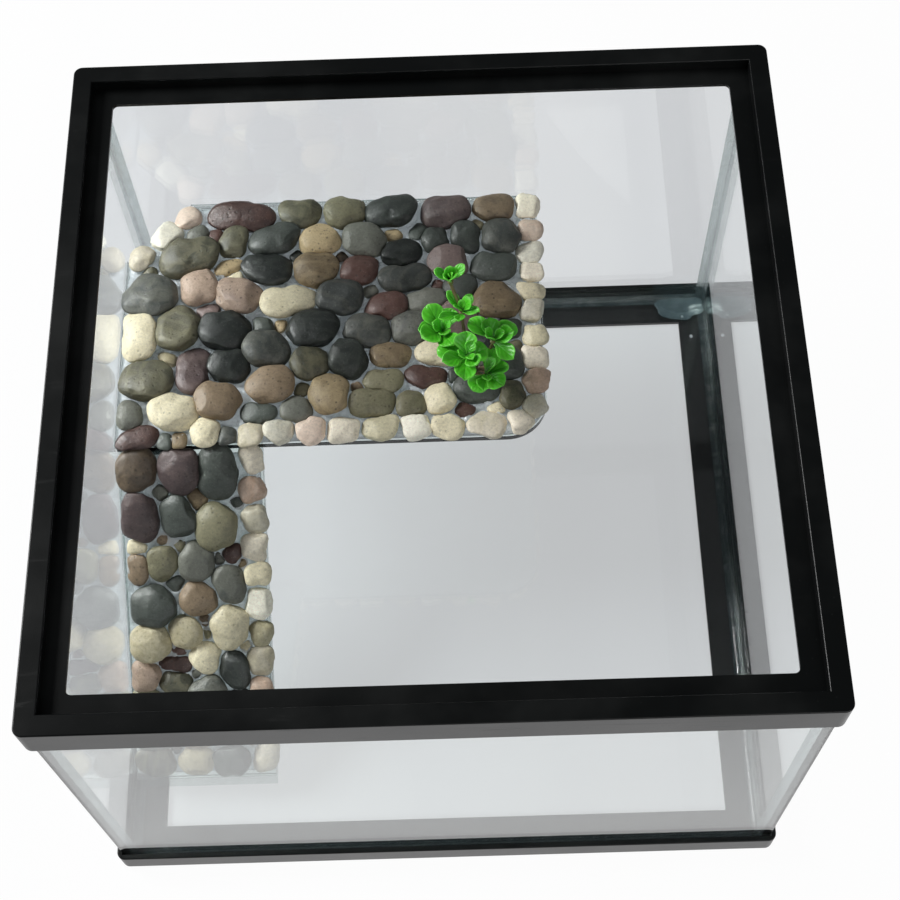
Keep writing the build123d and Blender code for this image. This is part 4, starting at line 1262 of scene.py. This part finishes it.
class TANK_OT_make_plant(bpy.types.Operator):
    """Soft plastic plant: six whorls of spoon leaves on bent stems"""

    bl_idname = "tank.make_plant"
    bl_label = "Make the plant"

    def execute(self, context):
        settings = context.scene.tank_plant
        leaf_material = make_leaf_material(settings)
        stem_material = make_stem_material(settings)
        platform = field_data()["platform"]
        foot = Vector((
            platform["right"] - settings.from_right, platform["front"] + settings.from_front,
            BEDDING_TOP,
        ))
        hubs = {}
        for node, place, length, width, lift, outer, inner in WHORLS:
            hub = foot + Vector(place) * MM
            hubs[node] = hub
            bm = bmesh_with(LEAF_VALUES)
            draw = random.Random(node)
            for bearing in outer:
                start = hub + Vector((0, 0, draw.uniform(-1.5, 1.5) * MM))
                turned, lifted = bearing + draw.uniform(-16, 16), lift + draw.uniform(-18, 20)
                long, wide = length * MM * draw.uniform(0.78, 1.12), width * MM * draw.uniform(0.78, 1.10)
                add_leaf(bm, start, turned, lifted, long, wide, draw)
            for bearing in inner:
                start = hub + Vector((0, 0, 1.5 * MM))
                lifted = lift + draw.uniform(22, 40)
                long, wide = length * MM * draw.uniform(0.5, 0.72), width * MM * draw.uniform(0.42, 0.6)
                add_leaf(bm, start, bearing, lifted, long, wide, draw)
            piece = finish_piece(node + "_leaves", bm, leaf_material, [node])
            wall = piece.modifiers.new("Leaf thickness", "SOLIDIFY")
            wall.thickness = settings.leaf_thickness
            wall.offset = 0.0
            soft = piece.modifiers.new("Soft", "SUBSURF")
            soft.levels = soft.render_levels = 1
        self.make_stems(foot, hubs, settings, stem_material)
        return {"FINISHED"}

    def make_stems(self, foot, hubs, settings, material):
        """A round foot, and a bent stem with a knob for each whorl."""
        bm = bmesh.new()
        base = bmesh.ops.create_cone(
            bm, cap_ends=True, segments=20, radius1=5.0 * MM, radius2=3.4 * MM, depth=4.0 * MM,
        )["verts"]
        bmesh.ops.translate(bm, verts=base, vec=foot + Vector((0, 0, 2.0 * MM)))
        bmesh.ops.bevel(
            bm, geom=list(bm.edges), offset=0.5 * MM, segments=2, profile=0.5, affect="EDGES", material=-1
        )
        for node, hub in hubs.items():
            outward = Vector((hub.x - foot.x, hub.y - foot.y, 0.0)).normalized() * 2.6 * MM
            start = foot + Vector((0, 0, 2.0 * MM)) + outward
            if node == "plant_top_whorl":
                start = hubs["plant_upper_whorl"]
            rise = hub.z - start.z
            points = []
            for step in range(STEM_STEPS + 1):
                share = step / STEM_STEPS
                sideways = share * share * (3 - 2 * share)
                points.append(Vector((
                    start.x + (hub.x - start.x) * sideways, start.y + (hub.y - start.y) * sideways,
                    start.z + rise * share,
                )))
            radii = [
                settings.stem_radius * (1.15 - 0.3 * step / STEM_STEPS) for step in range(STEM_STEPS + 1)
            ]
            add_tube(bm, points, radii)
            knob = bmesh.ops.create_icosphere(bm, subdivisions=3, radius=1.9 * MM)["verts"]
            bmesh.ops.scale(bm, vec=(1.0, 1.0, 0.8), verts=knob)
            bmesh.ops.translate(bm, verts=knob, vec=hub)
        bmesh.ops.recalc_face_normals(bm, faces=bm.faces)
        finish_piece("plant_stem_bundle", bm, material, ["plant_stems"])


# Lamps: name, place and width in metres, and share of the key power
LAMPS = (
    ("window_light", (-1.6, 0.62, 1.30), 0.85, 1.0),
    ("fill_light", (0.9, -1.7, 1.5), 1.8, 0.30),
)
LAMPS_LOOK_AT = (0, 0, 0.12)
# How much of the paper's plain white each kind of ray sees, in place of its lit surface
SEEN_DIRECTLY, SEEN_MIRRORED, SEEN_THROUGH_GLASS = 0.97, 0.95, 0.6
PAPER_THROUGH_GLASS = (0.86, 0.865, 0.88, 1.0)


class TANK_OT_set_stage(bpy.types.Operator):
    """Plain pale floor, soft window light and the camera"""

    bl_idname = "tank.set_stage"
    bl_label = "Set the stage"

    def execute(self, context):
        settings = context.scene.tank_stage
        self.make_floor(settings)
        self.make_sky(context.scene, settings)
        for name, place, size, share in LAMPS:
            self.make_lamp(name, place, size, settings.key_power * share)
        camera = bpy.data.cameras.new("camera")
        camera.lens = settings.lens
        camera.sensor_width = 36.0
        camera.clip_start = 0.01
        holder = bpy.data.objects.new("camera", camera)
        context.scene.collection.objects.link(holder)
        holder.location = settings.camera_place
        holder.rotation_euler = [math.radians(angle) for angle in settings.camera_turn]
        context.scene.camera = holder
        context.scene.view_settings.view_transform = "Standard"
        return {"FINISHED"}

    def make_floor(self, settings):
        """A wide sheet of white paper that keeps the tank's shadow, with painted shade along its soft folds."""
        bm = bmesh.new()
        bmesh.ops.create_grid(bm, x_segments=2, y_segments=2, size=4.0)
        mesh = bpy.data.meshes.new("floor")
        bm.to_mesh(mesh)
        bm.free()
        mesh.transform(Matrix.Translation((0, 0, -0.0003)))
        floor = bpy.data.objects.new("floor", mesh)
        bpy.context.scene.collection.objects.link(floor)
        material, tree, output = new_material("floor_paper")
        # Painted shade of soft folds, as darker stripes on the flat paper
        creases = add_node(tree, "ShaderNodeMapping", (-800, 0), inputs={"Scale": (9.0, 0.8, 1.0)})
        tree.links.new(object_place(tree, (-900, 0)), creases.inputs["Vector"])
        fold_shade_noise = noise_of(tree, creases.outputs["Vector"], 1.0, 2.0, 0.4, (-600, 0))
        paper = add_node(tree, "ShaderNodeBsdfPrincipled", (200, 0), inputs={
            "Roughness": 0.9, "Specular IOR Level": 0.1,
        })
        folded = ramp_between(tree, fold_shade_noise, 0.35, 0.65, (-450, 0))
        colour = mix_colours(tree, folded, settings.floor_colour, settings.fold_shade_colour, (-200, 0))
        tree.links.new(colour, paper.inputs["Base Color"])
        path = add_node(tree, "ShaderNodeLightPath", (-400, -400))
        reflected = reflected_only(tree, path, (-200, 350))
        clean = maths(tree, "MAXIMUM", path.outputs["Is Camera Ray"], reflected, (-200, -300))
        seen = mix_colours(tree, clean, PAPER_THROUGH_GLASS, (1.0, 1.0, 1.0, 1.0), (0, -400))
        white = add_node(tree, "ShaderNodeEmission", (200, -400), inputs={"Strength": 1.0})
        tree.links.new(seen, white.inputs["Color"])
        through = maths(tree, "MULTIPLY", path.outputs["Is Transmission Ray"], SEEN_THROUGH_GLASS, (0, 200))
        mirrored = maths(tree, "MULTIPLY", reflected, SEEN_MIRRORED, (0, 350))
        direct = maths(tree, "MULTIPLY", path.outputs["Is Camera Ray"], SEEN_DIRECTLY, (0, 500))
        share = maths(tree, "MAXIMUM", through, mirrored, (200, 250))
        share = maths(tree, "MAXIMUM", direct, share, (400, 300))
        mixed = add_node(tree, "ShaderNodeMixShader", (600, 0))
        tree.links.new(share, mixed.inputs[0])
        tree.links.new(paper.outputs[0], mixed.inputs[1])
        tree.links.new(white.outputs[0], mixed.inputs[2])
        tree.links.new(mixed.outputs[0], output.inputs["Surface"])
        mesh.materials.append(material)

    def make_sky(self, scene, settings):
        """Soft light from all round, with plain white behind the tank."""
        world = bpy.data.worlds.new("soft_room")
        world.use_nodes = True
        tree = world.node_tree
        tree.nodes.clear()
        output = add_node(tree, "ShaderNodeOutputWorld", (600, 0))
        light = add_node(tree, "ShaderNodeBackground", (0, 0), inputs={"Color": (0.93, 0.96, 1.0, 1.0)})
        seen = add_node(tree, "ShaderNodeBackground", (0, -200), inputs={
            "Color": (1.0, 1.0, 1.0, 1.0), "Strength": 1.0,
        })
        path = add_node(tree, "ShaderNodeLightPath", (-200, 300))
        reflected = reflected_only(tree, path, (-400, 100))
        strength = ramp_between(
            tree, reflected, 0.0, 1.0, (-200, 100), settings.sky_strength, settings.sky_mirrored
        )
        tree.links.new(strength, light.inputs["Strength"])
        mixed = add_node(tree, "ShaderNodeMixShader", (300, 0))
        tree.links.new(path.outputs["Is Camera Ray"], mixed.inputs[0])
        tree.links.new(light.outputs[0], mixed.inputs[1])
        tree.links.new(seen.outputs[0], mixed.inputs[2])
        tree.links.new(mixed.outputs[0], output.inputs["Surface"])
        scene.world = world

    def make_lamp(self, name, place, size, power):
        """A round soft lamp that looks at the middle of the tank."""
        lamp = bpy.data.lights.new(name, "AREA")
        lamp.shape = "DISK"
        lamp.size = size
        lamp.energy = power
        holder = bpy.data.objects.new(name, lamp)
        bpy.context.scene.collection.objects.link(holder)
        holder.location = place
        aim = Vector(LAMPS_LOOK_AT) - Vector(place)
        holder.rotation_euler = aim.to_track_quat("-Z", "Y").to_euler()


class TANK_PT_sidebar(bpy.types.Panel):
    """Shows the tank's settings and a button for each step, in the order they run"""

    bl_idname = "TANK_PT_sidebar"
    bl_label = "Turtle Tank"
    bl_space_type = "VIEW_3D"
    bl_region_type = "UI"
    bl_category = "Turtle Tank"

    def draw(self, context):
        column = self.layout.column()
        for name in SETTINGS:
            group = getattr(context.scene, name)
            column.label(text=name.replace("_", " ").title())
            for key in group.bl_rna.properties.keys():
                if key not in ("rna_type", "name"):
                    column.prop(group, key)
        for operator in OPERATORS:
            column.operator(operator.bl_idname)


SETTINGS = {
    "tank_plastic": TankPlasticSettings,
    "tank_glass": TankGlassSettings,
    "tank_silicone": TankSiliconeSettings,
    "tank_pebbles": TankPebbleSettings,
    "tank_plant": TankPlantSettings,
    "tank_stage": TankStageSettings,
}
OPERATORS = (
    TANK_OT_dress_frames,
    TANK_OT_make_panes,
    TANK_OT_make_silicone,
    TANK_OT_make_bedding,
    TANK_OT_make_pebbles,
    TANK_OT_make_plant,
    TANK_OT_set_stage,
)


def register():
    """Add the settings, the operators and the panel."""
    for item in (*SETTINGS.values(), *OPERATORS, TANK_PT_sidebar):
        bpy.utils.register_class(item)
    for name, kind in SETTINGS.items():
        setattr(bpy.types.Scene, name, bpy.props.PointerProperty(type=kind))


def unregister():
    """Take them away again."""
    for name in SETTINGS:
        delattr(bpy.types.Scene, name)
    for item in (TANK_PT_sidebar, *reversed(OPERATORS), *reversed(SETTINGS.values())):
        bpy.utils.unregister_class(item)


def main():
    """Make every piece in order."""
    register()
    bpy.ops.tank.dress_frames()
    bpy.ops.tank.make_panes()
    bpy.ops.tank.make_silicone()
    bpy.ops.tank.make_bedding()
    bpy.ops.tank.make_pebbles()
    bpy.ops.tank.make_plant()
    bpy.ops.tank.set_stage()


if __name__ == "__main__":
    main()
